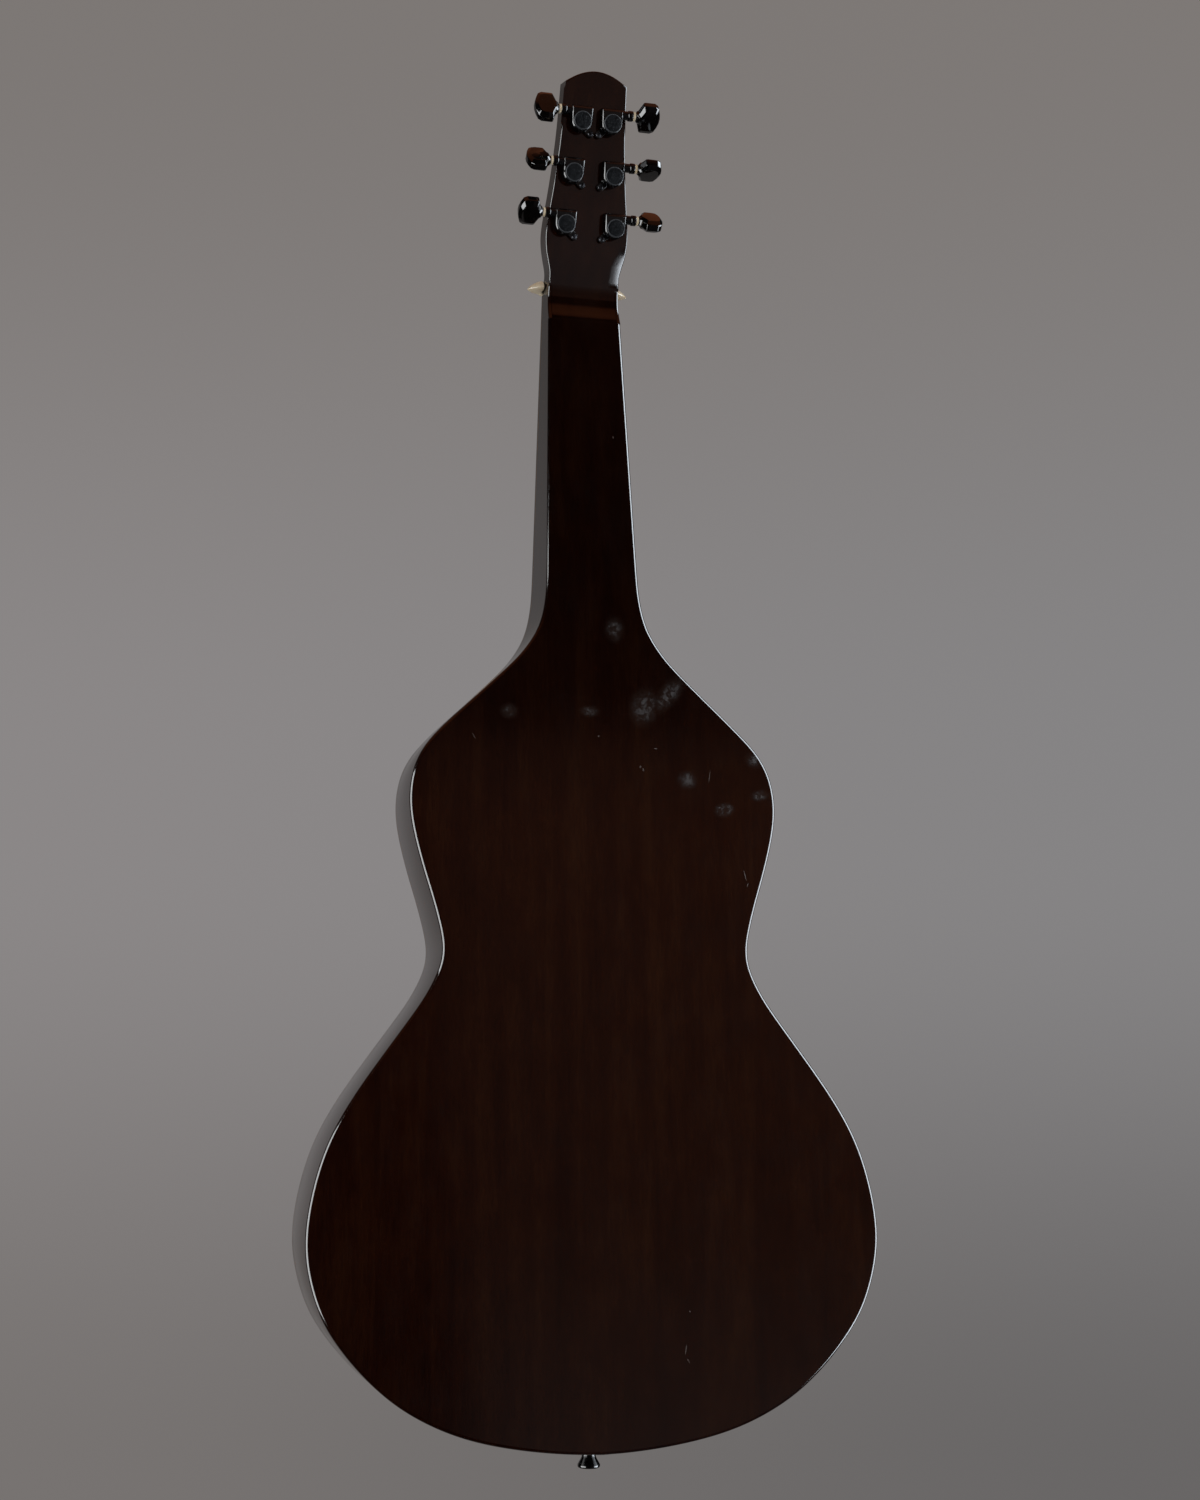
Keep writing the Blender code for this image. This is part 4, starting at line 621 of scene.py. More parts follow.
def turned(name, profile, sides=40):
    """A piece as from a lathe: (height, radius) pairs in millimetres, from its foot to its top."""
    bpy.ops.object.select_all(action="DESELECT")
    height, radius = profile[0]
    bpy.ops.mesh.primitive_circle_add(
        vertices=sides, radius=radius * MM, fill_type="NGON", location=(0, 0, height * MM)
    )
    made = bpy.context.object
    made.name = name
    bpy.ops.object.transform_apply(location=True, rotation=False, scale=False)
    in_edit(made, "FACE")
    for up, wide in profile[1:]:
        bpy.ops.mesh.extrude_region_move(TRANSFORM_OT_translate={"value": (0, 0, (up - height) * MM)})
        share = wide / radius
        bpy.ops.transform.resize(value=(share, share, 1), center_override=(0, 0, up * MM))
        height, radius = up, wide
    bpy.ops.mesh.select_all(action="SELECT")
    bpy.ops.mesh.normals_make_consistent(inside=False)
    out_of_edit()
    return made


def place_copy(obj, name, matrix):
    """A copy with its own mesh, moved in the mesh itself so that its object stays at the origin."""
    made = obj.copy()
    made.data = obj.data.copy()
    made.name = name
    made.data.name = name
    bpy.context.scene.collection.objects.link(made)
    made.data.transform(matrix)
    if matrix.determinant() < 0:
        made.data.flip_normals()
    return made


def drop(*objs):
    for obj in objs:
        bpy.data.objects.remove(obj, do_unlink=True)


print("helpers are ready")

# %% [markdown]
# ## The back
# The back is one thin plate, bent forward where the neck starts. On the real guitar that bend is
# a soft fold about a thumb wide, and it is what makes the body and the neck catch different light.
# The fold is made first, as one wide bevel across the plate. The rim is rounded after it, so that
# it runs over the fold without a break.


# %% Back plate: the fold, then the rim
def is_fold(middle, one, two):
    return abs(middle.z - 538.5) < 1 and one.y < -0.9 and two.y < -0.9


def is_back_rim(middle, one, two):
    back, edge = sorted((one, two), key=lambda n: n.y)
    return back.y < -0.9 and edge.y > -0.4 and middle.z < 767.5


back = copy_of("back_plate", "back_plate_rounded", 0.2)
folds = round_edges(back, 11, 5, is_fold)
print("outline points", smooth_outline(back, lambda m: m.z > 767))
rims = round_edges(back, 2.3, 6, is_back_rim, clamp=False)
tidy_shading(back, 40)
fit(back, back_wood, stands_for=["back_plate"])
print("back plate: fold edges", folds, "rim edges", rims, "faces", len(back.data.polygons))

# %% [markdown]
# ## The sides
# Each side is one long rib, bent to the outline and running on up the neck. Seen from the back it
# shows as a narrow band. Only above the back plate's end does its own outer edge show, and there
# it is rounded like the plate's rim.


# %% Left and right side
def is_open_rib_edge(middle, one, two):
    back, edge = sorted((one, two), key=lambda n: n.y)
    return middle.z > 768.5 and middle.z < 792 and back.y < -0.85 and abs(edge.x) > 0.9


for side, outward in (("left", -1), ("right", 1)):
    rib = copy_of(f"{side}_side", f"{side}_side_smooth", 0.1)
    smooth_outline(rib, lambda m: abs(m.x) < 1 or m.z > 767)
    edges = round_edges(
        rib, 1.1, 3, lambda m, a, b: is_open_rib_edge(m, a, b) and abs(m.x) > 24.8 and m.x * outward > 0
    )
    tidy_shading(rib, 30)
    fit(rib, side_wood, stands_for=[f"{side}_side"])
    print(rib.name, "rounded edges", edges, "faces", len(rib.data.polygons))

# %% [markdown]
# ## The headstock
# The headstock and the block that plugs the neck are one piece of wood. A maker eases all of its
# outline by about a millimetre, more at the corners by the nut, where a hand wears it. The holes
# for the posts stay sharp, because the bushings cover them.


# %% Headstock
def near_post(middle):
    """Whether a place lies at the rim of a hole for a post."""
    for number in range(1, 7):
        post = tuner_frame(number).translation / MM + HANG
        if math.hypot(middle.x - post.x, middle.z - post.z) < 5.25:
            return True
    return False


def is_head_edge(middle, one, two):
    """Edges between the headstock's back or front and its outline."""
    if middle.z < 796:
        return False
    facing = [abs(n.y) > 0.85 for n in (one, two)]
    rim = [abs(n.x) > 0.2 or n.z > 0.6 for n in (one, two)]
    if not ((facing[0] and rim[1] and not facing[1]) or (facing[1] and rim[0] and not facing[0])):
        return False
    return not near_post(middle)


head = copy_of("headstock", "headstock_rounded", 0.2)
smooth_outline(head, lambda m: m.z < 815 or near_post(m))
edges = round_edges(head, 1.0, 4, is_head_edge, clamp=False)
tidy_shading(head, 35)
fit(head, head_wood, stands_for=["headstock"])
print("headstock: rounded edges", edges, "faces", len(head.data.polygons))

# %% [markdown]
# ## The top
# The soundboard is spruce under a clear golden lacquer, with its edge rounded over. Round the
# soundhole sits a rosette of thin rings let into the wood. The rings could be separate strips.
# They are drawn in the finish instead, by the distance from the hole's centre, because the real
# ones lie flush and are sanded level with the top.

# %% Soundboard with its rosette
HOLE_AT, HOLE_RADIUS = 317, 47.5
# (inner radius, outer radius, colour) of each ring, in millimetres
ROSETTE = [
    (51.0, 52.2, (0.012, 0.009, 0.008, 1)),
    (52.2, 53.0, (0.55, 0.45, 0.3, 1)),
    (53.0, 55.6, (0.09, 0.032, 0.015, 1)),
    (55.6, 56.4, (0.55, 0.45, 0.3, 1)),
    (56.4, 57.6, (0.012, 0.009, 0.008, 1)),
]


def top_finish(name):
    made, tree, shader, wood = spruce(name, honey=0.82)
    coords = tree.nodes["Texture Coordinate"]
    from_hole = put(tree, "ShaderNodeVectorMath", {"operation": "SUBTRACT"}, i0=coords.outputs["Object"], i1=at(0, 0, HOLE_AT))
    flat = put(tree, "ShaderNodeVectorMath", {"operation": "MULTIPLY"}, i0=from_hole.outputs["Vector"], i1=(1, 0, 1))
    far = put(tree, "ShaderNodeVectorMath", {"operation": "LENGTH"}, i0=flat.outputs["Vector"]).outputs["Value"]
    colour = wood
    for inner, outer, shade in ROSETTE:
        ring = sums(tree, "MULTIPLY", sums(tree, "GREATER_THAN", far, inner * MM), sums(tree, "LESS_THAN", far, outer * MM))
        colour = blend(tree, ring, colour, shade)
    tree.links.new(colour, shader.inputs["Base Color"])
    shader.inputs["Coat Weight"].default_value = 0.5
    shader.inputs["Coat Roughness"].default_value = 0.12
    return made


def is_top_rim(middle, one, two):
    faces = sorted((one, two), key=lambda n: -n.y)
    hole = math.hypot(middle.x, middle.z - HOLE_AT) < HOLE_RADIUS + 1
    return faces[0].y > 0.95 and abs(faces[1].y) < 0.3 and not hole and middle.z < 790


def is_hole_rim(middle, one, two):
    faces = sorted((one, two), key=lambda n: -abs(n.y))
    near = math.hypot(middle.x, middle.z - HOLE_AT) < HOLE_RADIUS + 1
    return near and abs(faces[0].y) > 0.95 and abs(faces[1].y) < 0.3


top_wood = top_finish("golden_spruce_top")
top = copy_of("soundboard", "soundboard_rounded", 0.2)
smooth_outline(top, lambda m: m.z > 785)
rim = round_edges(top, 0.8, 3, is_top_rim)
hole = round_edges(top, 0.6, 3, is_hole_rim)
tidy_shading(top, 35)
fit(top, top_wood, stands_for=["soundboard"])
top.data.materials.append(side_wood)
for face in top.data.polygons:
    place = face.center / MM + HANG
    if abs(face.normal.y) < 0.9 and math.hypot(place.x, place.z - HOLE_AT) > HOLE_RADIUS + 2:
        face.material_index = 1
print("soundboard: rim", rim, "soundhole", hole, "faces", len(top.data.polygons))

# %% [markdown]
# ## The fretboard
# A lap guitar is played with a steel bar, so its frets are only lines. They are pale strips let in
# flush, spaced by the rule that twelve of them halve the string. Their places come from that rule,
# not from a table. Round dots mark the usual frets.

# %% Fretboard, fret lines and dots
SCALE_LENGTH = 635
NUT_CREST_AT = 795.1
BOARD_LOW, BOARD_HIGH, BOARD_FACE = 368, 793, 5.3
HALF_LOW, HALF_HIGH = 27.2, 24.6
FRET_COUNT = 18

board = copy_of("fretboard", "fretboard_eased")
edges = round_edges(board, 0.6, 3, lambda m, a, b: max(a.y, b.y) > 0.9 and min(a.y, b.y) < 0.5)
tidy_shading(board, 35)
fit(board, fretwood, stands_for=["fretboard"])
print("fretboard: eased edges", edges)


def fret_at(number):
    return NUT_CREST_AT - SCALE_LENGTH * (1 - 2 ** (-number / 12))


def board_half(z):
    share = (z - BOARD_LOW) / (BOARD_HIGH - BOARD_LOW)
    return HALF_LOW + (HALF_HIGH - HALF_LOW) * share


def flat_strip(name, centre, half_sizes):
    """A thin strip with eased edges, at a place on the guitar, in millimetres."""
    bpy.ops.object.select_all(action="DESELECT")
    bpy.ops.mesh.primitive_cube_add(size=2, location=at(*centre))
    made = bpy.context.object
    made.name = name
    made.scale = [h * MM for h in half_sizes]
    bpy.ops.object.transform_apply(location=True, rotation=False, scale=True)
    in_edit(made, "EDGE")
    bpy.ops.mesh.bevel(offset=min(half_sizes) * 0.4 * MM, segments=2, affect="EDGES")
    out_of_edit()
    return made


line_finish = bone("pale_fret_lines")
strips = []
for number in range(1, FRET_COUNT + 1):
    z = fret_at(number)
    strips.append(flat_strip("fret_line", (0, BOARD_FACE + 0.02, z), (board_half(z) - 0.7, 0.05, 0.4)))
for number in (3, 5, 7, 9, 12, 15, 17):
    z = (fret_at(number) + fret_at(number - 1)) / 2
    for x in (-7, 7) if number == 12 else (0,):
        dot = turned("dot", [(0, 3), (0.08, 3), (0.1, 2.9)], 32)
        dot.data.transform(Matrix.Translation(at(x, BOARD_FACE - 0.02, z)) @ Matrix.Rotation(math.radians(-90), 4, "X"))
        strips.append(dot)
only(strips[0])
for strip in strips:
    strip.select_set(True)
bpy.ops.object.join()
lines = strips[0]
lines.name = "fret_lines_and_dots"
tidy_shading(lines, 35, weighted=False)
fit(lines, line_finish)
print("fret lines and dots:", len(strips), "pieces, the first at", round(fret_at(1), 1), "mm")

# %% [markdown]
# ## The nut
# The nut is cut from one piece of bone, with a horn past each side of the neck. It is carved, so
# no edge on it is sharp. A bevel would leave facets on the horns. The copy is remeshed into small
# even squares instead and smoothed a few times, which wears every corner down as a file would.


# %% Nut
nut = copy_of("nut", "nut_carved")
remesh = nut.modifiers.new("even_squares", "REMESH")
remesh.mode = "VOXEL"
remesh.voxel_size = 0.45 * MM
bpy.ops.object.modifier_apply(modifier=remesh.name)
smooth = nut.modifiers.new("worn", "SMOOTH")
smooth.factor = 0.6
smooth.iterations = 6
bpy.ops.object.modifier_apply(modifier=smooth.name)
only(nut)
bpy.ops.object.shade_smooth()
fit(nut, cream_bone, stands_for=["nut"])
print("nut: faces", len(nut.data.polygons))

# %% [markdown]
# ## Bridge, saddle and pins
# The bridge is a solid block whose wings are scooped thin. Its edges are rounded over, and the
# saddle stands in its slot. Each pin is a turned peg with a domed head and a small dot on top.

# %% Bridge and saddle
bridge = copy_of("bridge", "bridge_eased")
edges = round_edges(bridge, 0.7, 3, lambda m, a, b: a.angle(b, 0) > 0.6 and m.y > 1.5 and abs(m.z - 153) > 12)
tidy_shading(bridge, 35)
fit(bridge, fretwood, stands_for=["bridge"])
saddle = copy_of("saddle", "saddle_eased")
more = round_edges(saddle, 0.35, 3, lambda m, a, b: a.angle(b, 0) > 0.6 and m.y > 8)
tidy_shading(saddle, 35)
fit(saddle, cream_bone, stands_for=["saddle"])
print("bridge edges", edges, "saddle edges", more)

# %% Bridge pins, turned once and copied
low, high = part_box("bridge_pin_1")
pin_top = (high / MM + HANG).y
pin_foot = (low / MM + HANG).y
pin_z = ((low + high) / 2 / MM + HANG).z
head_low = pin_top - 2.8
pin_profile = [(pin_foot, 1.9), (pin_foot + 0.4, 2.05), (head_low - 0.1, 2.35), (head_low, 2.95)]
pin_profile += [(head_low + 1.4, 3.0), (pin_top - 0.7, 2.5), (pin_top - 0.2, 1.5), (pin_top, 0.6)]
pin = turned("pin", [(h, r - 0.02) for h, r in pin_profile], 32)
turn_to_front = Matrix.Rotation(math.radians(-90), 4, "X")
for number in range(1, 7):
    low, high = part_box(f"bridge_pin_{number}")
    x = ((low + high) / 2 / MM + HANG).x
    made = place_copy(pin, f"bridge_pin_{number}_turned", Matrix.Translation(at(x, 0, pin_z)) @ turn_to_front)
    tidy_shading(made, 40, weighted=False)
    fit(made, cream_bone, stands_for=[f"bridge_pin_{number}"])
drop(pin)
print("bridge pins stand", round(pin_top - head_low, 1), "mm proud of the bridge")

# %% [markdown]
# ## The tuners
# Each tuner is a cast housing with a round cap and a screw lug, a collar through which its shaft
# comes out, and a button on that shaft. The small parts repeat six times. Each is made once in the
# tuner's own frame and copied to its place. The shaft and button turn, so whatever sits on them
# rides on the shaft's body.

# %% Housings with their edges eased
for number in range(1, 7):
    housing = copy_of(f"tuner_housing_{number}", f"tuner_housing_{number}_cast", 0.5)
    inverse = tuner_frame(number).inverted()

    def outer_edge(middle, one, two, inverse=inverse):
        local = inverse @ ((middle - HANG) * MM) / MM
        turned_one = inverse.to_3x3() @ one
        turned_two = inverse.to_3x3() @ two
        flat_top = max(turned_one.z, turned_two.z) > 0.9
        return local.z > 2.5 and flat_top and one.angle(two, 0) > math.radians(24)

    edges = round_edges(housing, 0.3, 2, outer_edge)
    tidy_shading(housing, 32)
    fit(housing, black_enamel, stands_for=[f"tuner_housing_{number}"])
    print(housing.name, "eased edges", edges, "faces", len(housing.data.polygons))

# %% [markdown]
# ### Cap ring, disc, lug screw and collar sleeve
# The cap has a raised rim round a dull pressed disc. The lug is held by a small cross-head screw.
# The collar is a smooth turned sleeve over the solid's coarse one, and a pale nylon washer sits
# between it and the button.

# %% Small round parts, each made once
ring_profile = [(10.0, 6.45), (11.3, 6.5), (11.84, 6.4), (12.04, 6.12), (11.98, 5.8), (11.5, 5.6)]
disc_profile = [(11.3, 5.7), (11.82, 5.7), (11.86, 5.5), (11.9, 2.2), (11.87, 1.5)]
ring = turned("cap_ring", ring_profile, 64)
disc = turned("cap_disc", disc_profile, 64)
screw = turned("lug_screw", [(2.9, 1.75), (3.6, 1.8), (3.95, 1.5), (4.1, 0.8)], 32)


def cross_slot(screw, height, half_long, half_wide, depth):
    """Cuts a cross into a screw's head."""
    for turn in (0, 90):
        bpy.ops.object.select_all(action="DESELECT")
        bpy.ops.mesh.primitive_cube_add(size=2, location=(0, 0, height * MM))
        bar = bpy.context.object
        bar.scale = (half_long * MM, half_wide * MM, depth * MM)
        bar.rotation_euler.z = math.radians(turn)
        bpy.ops.object.transform_apply(location=True, rotation=True, scale=True)
        cut = screw.modifiers.new("cross", "BOOLEAN")
        cut.operation = "DIFFERENCE"
        cut.solver = "EXACT"
        cut.object = bar
        only(screw)
        bpy.ops.object.modifier_apply(modifier=cut.name)
        drop(bar)


cross_slot(screw, 4.1, 1.15, 0.22, 0.6)
for part in (ring, disc, screw):
    tidy_shading(part, 35, weighted=False)
print("cap ring, disc and screw:", [len(o.data.polygons) for o in (ring, disc, screw)])

# %% Collar sleeve and washer, turned about the shaft
sleeve_profile = [(6.4, 3.12), (11.4, 3.16), (11.7, 3.6), (12.0, 3.7), (14.5, 3.7), (14.8, 3.6), (14.95, 3.3)]
sleeve = turned("collar_sleeve", sleeve_profile, 40)
washer = turned("washer", [(15.1, 3.0), (15.25, 3.2), (16.6, 3.25), (16.85, 3.05)], 40)
for part in (sleeve, washer):
    tidy_shading(part, 40, weighted=False)
nylon = bone("cream_nylon_washer")
print("sleeve and washer:", [len(o.data.polygons) for o in (sleeve, washer)])

# %% Copies of the small parts at every tuner
LUG_IN, LUG_DOWN = 7.9, 7.5
for number in range(1, 7):
    side = tuner_side(number)
    place = tuner_frame(number)
    cap_ring = place_copy(ring, f"cap_ring_{number}", place)
    # the rim carries the painted highlight finish
    fit(cap_ring, cap_rim_painted_highlight)
    cap_disc = place_copy(disc, f"cap_disc_{number}", place)
    fit(cap_disc, cap_disc_black)
    turn = Matrix.Rotation(math.radians(random.Random(number).uniform(0, 90)), 4, "Z")
    lug = Matrix.Translation((-side * LUG_IN * MM, -LUG_DOWN * MM, 0))
    lug_screw = place_copy(screw, f"lug_screw_{number}", place @ lug @ turn)
    fit(lug_screw, dark_steel)
    shaft = Matrix.Translation((0, WORM_UP * MM, WORM_OUT * MM)) @ Matrix.Rotation(math.radians(90 * side), 4, "Y")
    collar = place_copy(sleeve, f"collar_sleeve_{number}", place @ shaft)
    fit(collar, black_enamel)
    pale = place_copy(washer, f"washer_{number}", place @ shaft)
    fit(pale, nylon, body=f"tuner_shaft_{number}")
drop(ring, disc, screw, sleeve, washer)
print("small tuner parts: 5 at each of 6 tuners")

# %% [markdown]
# ### The buttons
# Each button is a flat moulded grip with soft edges. The solid already has its outline and its
# sloping faces, so a narrow bevel and two rounds of smoothing melt its corners as moulding does.

# %% Tuner buttons
for number in range(1, 7):
    button = copy_of(f"tuner_button_{number}", f"tuner_button_{number}_moulded", 0.5)
    edges = round_edges(button, 0.7, 3, sharp(20))
    soften = button.modifiers.new("moulded", "SMOOTH")
    soften.factor = 0.5
    soften.iterations = 2
    bpy.ops.object.modifier_apply(modifier=soften.name)
    tidy_shading(button, 75, weighted=False)
    fit(button, button_plastic, body=f"tuner_shaft_{number}",
        stands_for=[f"tuner_button_{number}"])
    NODES[f"worm_shaft_{number}"].data.materials.clear()
    NODES[f"worm_shaft_{number}"].data.materials.append(plated_steel)
    print(button.name, "bevelled edges", edges)

# %% Posts and bushings in front, each a copy of its solid with eased edges
for number in range(1, 7):
    for kind, finish in (("string_post", plated_steel), ("ferrule", dark_steel)):
        node = NODES[f"{kind}_{number}"]
        made = copy_of(f"{kind}_{number}", f"{kind}_{number}_plated", 0.5)
        edges = round_edges(made, 0.2, 2, sharp(40))
        tidy_shading(made, 35)
        body = f"post_{number}" if kind == "string_post" else "guitar"
        fit(made, finish, body=body,
            stands_for=[f"{kind}_{number}"])

# %% [markdown]
# ## The strap button
# The button at the tail is a turned brass spool under black lacquer, held by a cross-head screw
# through its middle. It stands square to the tail, a little nearer the back than the top.

# %% Strap button and its screw
STRAP_DEPTH = 38.65
spool_profile = [(1.55, 7.0), (2.0, 7.4), (3.0, 7.42), (3.8, 6.9), (5.4, 5.0), (7.4, 4.22), (9.2, 4.5), (10.8, 5.6)]
spool_profile += [(12.2, 7.0), (12.9, 7.42), (13.9, 7.42), (14.5, 7.0), (14.75, 6.3), (14.5, 5.0), (13.4, 4.4)]
spool = copy_of("strap_button", "strap_button_turned", 0.5)
edges = round_edges(spool, 0.35, 3, sharp(30))
tidy_shading(spool, 40)
fit(spool, black_enamel, stands_for=["strap_button"])
NODES["strap_screw"].data.materials.clear()
NODES["strap_screw"].data.materials.append(plated_steel)
print("strap button: eased edges", edges)

# %% [markdown]
# ## The strings
# A string is a ball end under the bridge plate, a straight run over saddle and nut, and two turns
# round its post. The route is worked out again here from the same places as the solid's, with more
# points in every turn, so that the real pieces lie where the solids do. The strings touch neither
# post nor nut hard: they rest a hair above, as a drawn line must.

# %% Places that the strings run through
DIAMETERS = (0.36, 0.46, 0.66, 0.91, 1.17, 1.42)
SADDLE_AT, SADDLE_CREST, STRING_HOLE_AT = 160.1, 16.3, 148.61
NUT_STRING_AT, NUT_CREST = 795.28, 11.8
HEAD_THICKNESS, WINDING_RISE, WINDING_GAP, WAIST = 18.5, 7.5, 1.1, 2.6
HALF_GAP = 0.3


def string_x(number, spacing):
    return (number - 3.5) * spacing


def rounded(before, corner, after, reach, steps=6):
    """Points of a short curve that rounds a corner of the route."""
    a = corner + (before - corner).normalized() * reach
    c = corner + (after - corner).normalized() * reach
    return [a * (1 - k / steps) ** 2 + corner * 2 * (k / steps) * (1 - k / steps) + c * (k / steps) ** 2
            for k in range(steps + 1)]


def turns_round_post(number, nut_point, radius, steps=48):
    """Two turns round the post from where the string first touches it, and the cut end."""
    frame_here = tuner_frame(number)
    side = tuner_side(number)
    start = (frame_here.inverted() @ at(*nut_point)) / MM
    reach = WAIST + HALF_GAP + radius
    height = -HEAD_THICKNESS - WINDING_RISE
    bearing = math.atan2(start.y, start.x)
    spread = math.acos(reach / math.hypot(start.x, start.y))
    first = min((bearing + spread, bearing - spread), key=lambda a: side * math.cos(a))
    arriving = Vector((reach * math.cos(first) - start.x, reach * math.sin(first) - start.y))
    turn = 1 if arriving.dot(Vector((-math.sin(first), math.cos(first)))) > 0 else -1
    pitch = 2 * radius + WINDING_GAP
    points = []
    for k in range(2 * steps + 1):
        share = k / steps
        angle = first + turn * 2 * math.pi * share
        points.append(Vector((reach * math.cos(angle), reach * math.sin(angle), height - pitch * share)))
    points.append(points[-1] + (points[-1] - points[-2]).normalized() * 4)
    return [(frame_here @ (p * MM)) / MM + HANG for p in points]


# %% Strings
for number, diameter in enumerate(DIAMETERS, 1):
    radius = diameter / 2
    x = string_x(number, 10.8)
    ball_end = Vector((x, -8.9, STRING_HOLE_AT))
    neck_low, neck_high = Vector((x, -5.7, STRING_HOLE_AT)), Vector((x, -4.9, STRING_HOLE_AT))
    hole_top = Vector((x, 8, STRING_HOLE_AT))
    crest = Vector((x, SADDLE_CREST + HALF_GAP + radius, SADDLE_AT - 0.75))
    nut_point = Vector((string_x(number, 8.8), NUT_CREST + HALF_GAP + radius, NUT_STRING_AT))
    winding = turns_round_post(number, nut_point, radius)
    thick = 1.5 / radius
    route = [(ball_end, thick * 0.8), (ball_end + Vector((0, 0.4, 0)), thick), (neck_low, thick), (neck_high, 1)]
    route += [(p, 1) for p in rounded(ball_end, hole_top, crest, 2)]
    route += [(p, 1) for p in rounded(hole_top, crest, nut_point, 1.2)]
    route += [(p, 1) for p in rounded(crest, nut_point, winding[0], 1.2)]
    route += [(p, 1) for p in winding]
    curve = bpy.data.curves.new(f"string_{number}_wire", "CURVE")
    curve.dimensions = "3D"
    curve.bevel_depth = radius * MM
    curve.bevel_resolution = 3
    curve.use_fill_caps = True
    spline = curve.splines.new("POLY")
    spline.points.add(len(route) - 1)
    for point, (place, share) in zip(spline.points, route):
        point.co = (*at(*place), 1)
        point.radius = share
    made = bpy.data.objects.new(f"string_{number}_wire", curve)
    bpy.context.scene.collection.objects.link(made)
    only(made)
    bpy.ops.object.convert(target="MESH")
    made = bpy.context.object
    bpy.ops.object.shade_smooth_by_angle(angle=math.radians(50))
    fit(made, bare_wire if number <= 2 else bronze_wire, stands_for=[f"string_{number}"])
    print(made.name, "points", len(route), "faces", len(made.data.polygons))

# %% [markdown]
# ## Inside the body
# Through the soundhole one sees the braces, the bridge plate and the tail block. They keep their
# solids' shapes, which are right, and get bare wood finishes.

# %% Finishes of what stays as it is
for name in ("x_brace_bass", "x_brace_treble", "back_brace_lower", "back_brace_upper", "tail_block"):
    NODES[name].data.materials.clear()
    NODES[name].data.materials.append(brace_wood)
NODES["bridge_plate"].data.materials.clear()
NODES["bridge_plate"].data.materials.append(plate_wood)
print("bare wood on", 6, "pieces")

# %% [markdown]
# ## Light and backdrop
# The guitar hangs in a grey studio. An even soft light from all round shows each finish at about
# its own colour. What gives dark lacquer its life is what it mirrors: a grey backdrop behind it, a
# warm dim room in front, and one tall bright window on each side that runs a thin line of light
# along its rims. The backdrop is in the world, so only the camera and mirrors see it, and it puts
# no colour on the wood.

# %% World: plain light for surfaces, grey studio for the eye and for mirrors
world = bpy.data.worlds.new("grey_studio")
bpy.context.scene.world = world
world.use_nodes = True
sky = world.node_tree
sky.nodes.clear()
direction = put(sky, "ShaderNodeTexCoord").outputs["Generated"]
parts = put(sky, "ShaderNodeSeparateXYZ", Vector=direction)
x, y, z = (parts.outputs[name] for name in ("X", "Y", "Z"))
right = fade(sky, x, -0.05, 0.5)
low_tone = blend(sky, right, (0.186, 0.172, 0.166, 1), (0.140, 0.133, 0.132, 1))
mid_tone = blend(sky, right, (0.258, 0.243, 0.243, 1), (0.236, 0.229, 0.232, 1))
high_tone = blend(sky, right, (0.203, 0.186, 0.177, 1), (0.207, 0.190, 0.181, 1))
seen = blend(sky, fade(sky, z, -0.17, 0.10), low_tone, mid_tone)
seen = blend(sky, fade(sky, z, 0.14, 0.46), seen, high_tone)
# what the lacquer mirrors from behind the camera: dark, but for a lit wall with a level upper edge
# and an upright left edge, a grey floor, and a warm wooden ceiling
height = put(sky, "ShaderNodeMapRange", Value=z, From_Min=-1, From_Max=1).outputs["Result"]
wall_tone = ramp(
    sky,
    height,
    [(0.38, (0.05, 0.045, 0.05)), (0.42, (0.23, 0.2, 0.2)), (0.46, (0.16, 0.12, 0.11)), (0.51, (0.10, 0.058, 0.045)), (0.62, (0.125, 0.062, 0.045))],
)
backward = sums(sky, "MAXIMUM", sums(sky, "MULTIPLY", y, -1.0), 0.01)
sideways = sums(sky, "ADD", sums(sky, "DIVIDE", x, backward), sums(sky, "MULTIPLY", z, 0.088))
wall = sums(sky, "MULTIPLY", fade(sky, sideways, 0.186, 0.201), fade(sky, z, 0.243, 0.234))
ceiling = ramp(sky, height, [(0.30, (0.004, 0.004, 0.004)), (0.40, (0.008, 0.006, 0.006)), (0.78, (0.004, 0.003, 0.003)), (0.84, (0.24, 0.072, 0.030)), (1.0, (0.32, 0.10, 0.045))])
room = blend(sky, wall, ceiling, wall_tone)
in_front = fade(sky, y, 0.1, -0.3)
behind = blend(sky, 1.0, seen, ramp(sky, height, [(0.5, 1.0), (0.72, 0.55)]), "MULTIPLY")
aside = sums(sky, "DIVIDE", sums(sky, "ABSOLUTE", x), sums(sky, "MAXIMUM", y, 0.01))
behind = blend(sky, fade(sky, aside, 0.5, 0.8), behind, (0.006, 0.005, 0.005, 1))
mirrored = blend(sky, fade(sky, z, 0.64, 0.74), blend(sky, in_front, behind, room), ceiling)
rays = put(sky, "ShaderNodeLightPath")
reflected = sums(sky, "MAXIMUM", rays.outputs["Is Glossy Ray"], rays.outputs["Is Transmission Ray"])
picture = blend(sky, reflected, seen, mirrored)
plain = put(sky, "ShaderNodeBackground", Color=(1, 1, 1, 1), Strength=0.55)
shown = put(sky, "ShaderNodeBackground", Color=picture, Strength=1)
eye = sums(sky, "MAXIMUM", rays.outputs["Is Camera Ray"], reflected)
both = put(sky, "ShaderNodeMixShader", Fac=eye, i1=plain.outputs[0], i2=shown.outputs[0])
put(sky, "ShaderNodeOutputWorld", Surface=both.outputs[0])
print("world:", world.name)

# %% Lamps
MIDDLE = Vector((0, -0.06, -0.43))


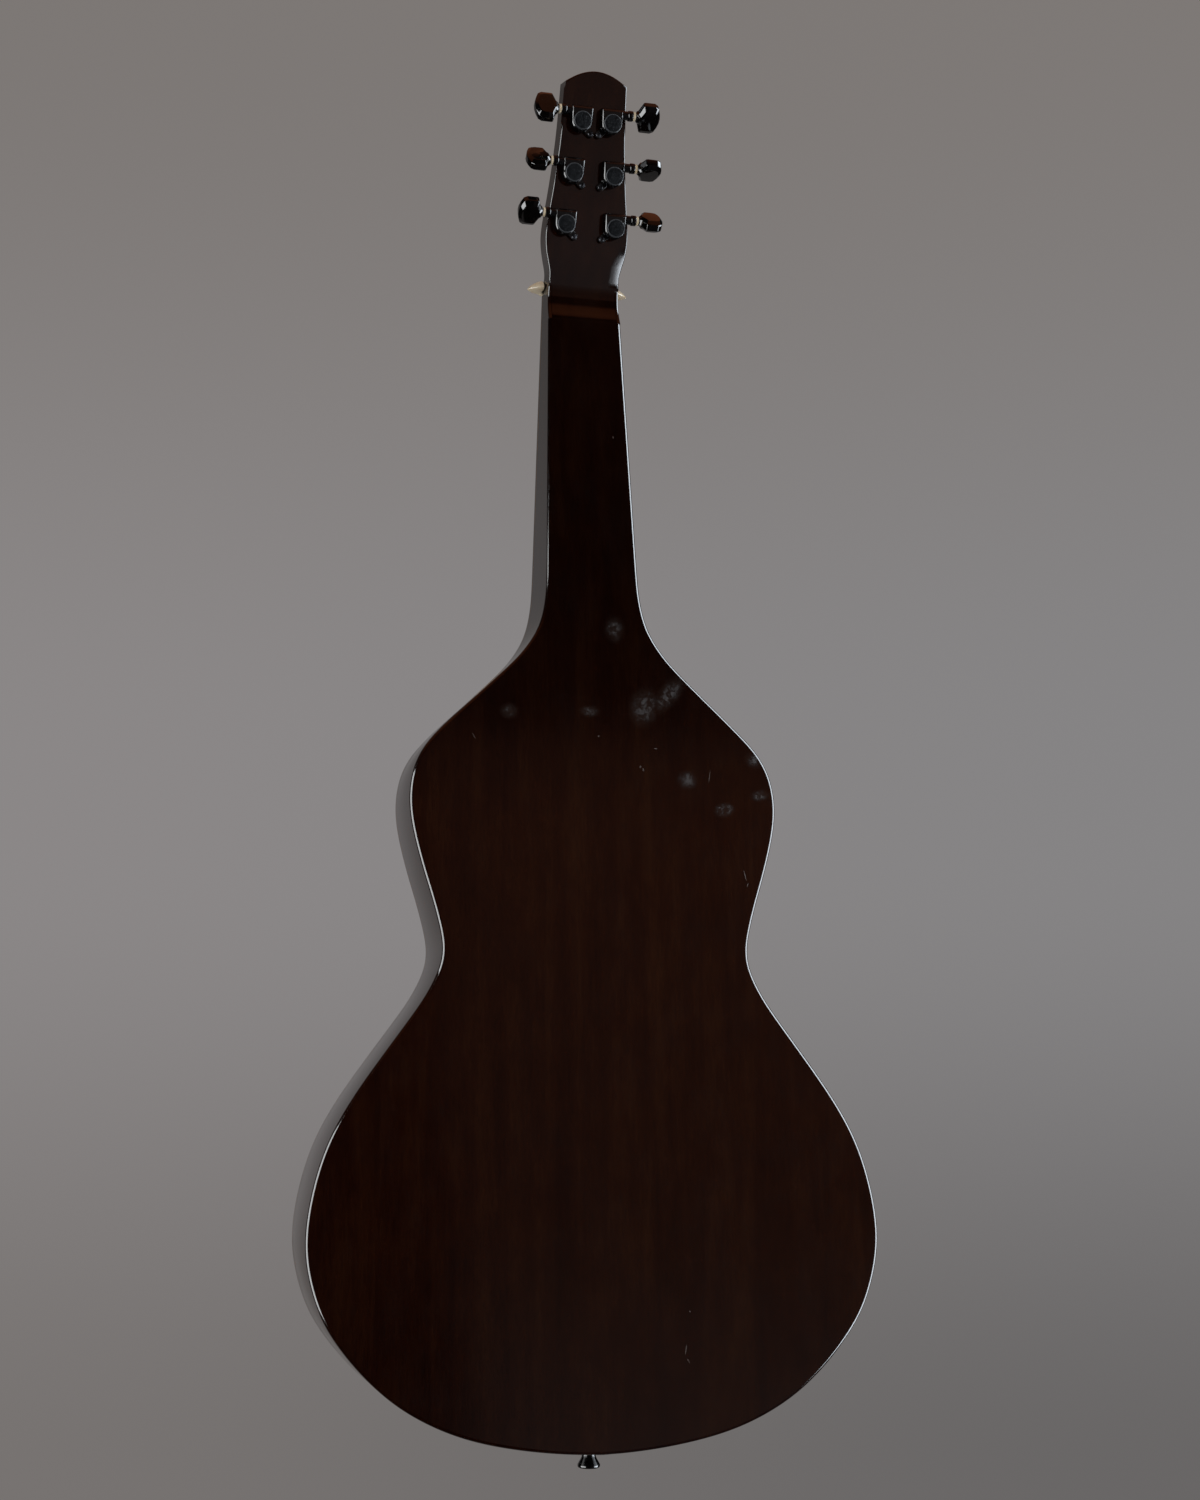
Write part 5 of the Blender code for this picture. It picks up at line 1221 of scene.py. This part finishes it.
def lamp(name, place, width, height, power, colour, mirror_only=False):
    """A soft lamp that faces the guitar's middle, seen either by surfaces or by mirrors."""
    light = bpy.data.lights.new(name, "AREA")
    light.shape = "RECTANGLE"
    light.size, light.size_y = width, height
    light.energy = power
    light.color = colour
    made = bpy.data.objects.new(name, light)
    bpy.context.scene.collection.objects.link(made)
    made.location = place
    made.rotation_euler = (MIDDLE - Vector(place)).to_track_quat("-Z", "Y").to_euler()
    made.visible_camera = False
    made.visible_diffuse = not mirror_only
    made.visible_glossy = mirror_only
    return made


lamp("soft_key", (2.2, -2.4, 1.0), 2.2, 2.2, 22, (1, 0.98, 0.96))
lamp("right_window", (2.5, -0.95, -0.2), 2.2, 4.4, 460, (0.84, 0.92, 1.0), mirror_only=True)
lamp("left_window", (-2.5, -0.75, -0.6), 2.6, 3.0, 260, (0.97, 0.99, 1.0), mirror_only=True)

# %% Floor, well below the hanging guitar
bpy.ops.object.select_all(action="DESELECT")
bpy.ops.mesh.primitive_circle_add(vertices=96, radius=2.4, fill_type="NGON", location=(0, 0, -1.62))
floor = bpy.context.object
floor.name = "pale_floor"
bpy.ops.object.transform_apply(location=True, rotation=False, scale=False)
floor_finish, tree, shader = new_finish("pale_floor", 0.7)
tone = noise(tree, places(tree), 260, 3)
tree.links.new(ramp(tree, tone, [(0.3, (0.60, 0.59, 0.58)), (0.7, (0.66, 0.65, 0.64))]), shader.inputs["Base Color"])
floor.data.materials.append(floor_finish)
floor.visible_glossy = False
print("floor:", floor.name)

# %% [markdown]
# ## Camera
# The photographer stood about a metre and a half behind the guitar, low and a little to one side,
# so the camera looks up at the headstock and catches a sliver of the left rib.

# %% Camera
FORWARD = Vector((0.2492, 0.9573, 0.1469)).normalized()
UP_HINT = Vector((-0.0370, -0.1422, 0.9892))
right_way = FORWARD.cross(UP_HINT).normalized()
up_way = right_way.cross(FORWARD)
camera_data = bpy.data.cameras.new("camera")
camera_data.lens = 52.8
camera_data.sensor_width = 36
camera_data.sensor_fit = "AUTO"
camera = bpy.data.objects.new("camera", camera_data)
bpy.context.scene.collection.objects.link(camera)
camera.location = Vector((-0.3666, -1.42117, -0.67208)) - right_way * 0.0012
basis = Matrix((right_way, up_way, -FORWARD)).transposed()
camera.rotation_euler = basis.to_euler()
bpy.context.scene.camera = camera
bpy.context.scene.view_settings.view_transform = "Standard"
print("camera at", [round(c, 3) for c in camera.location])
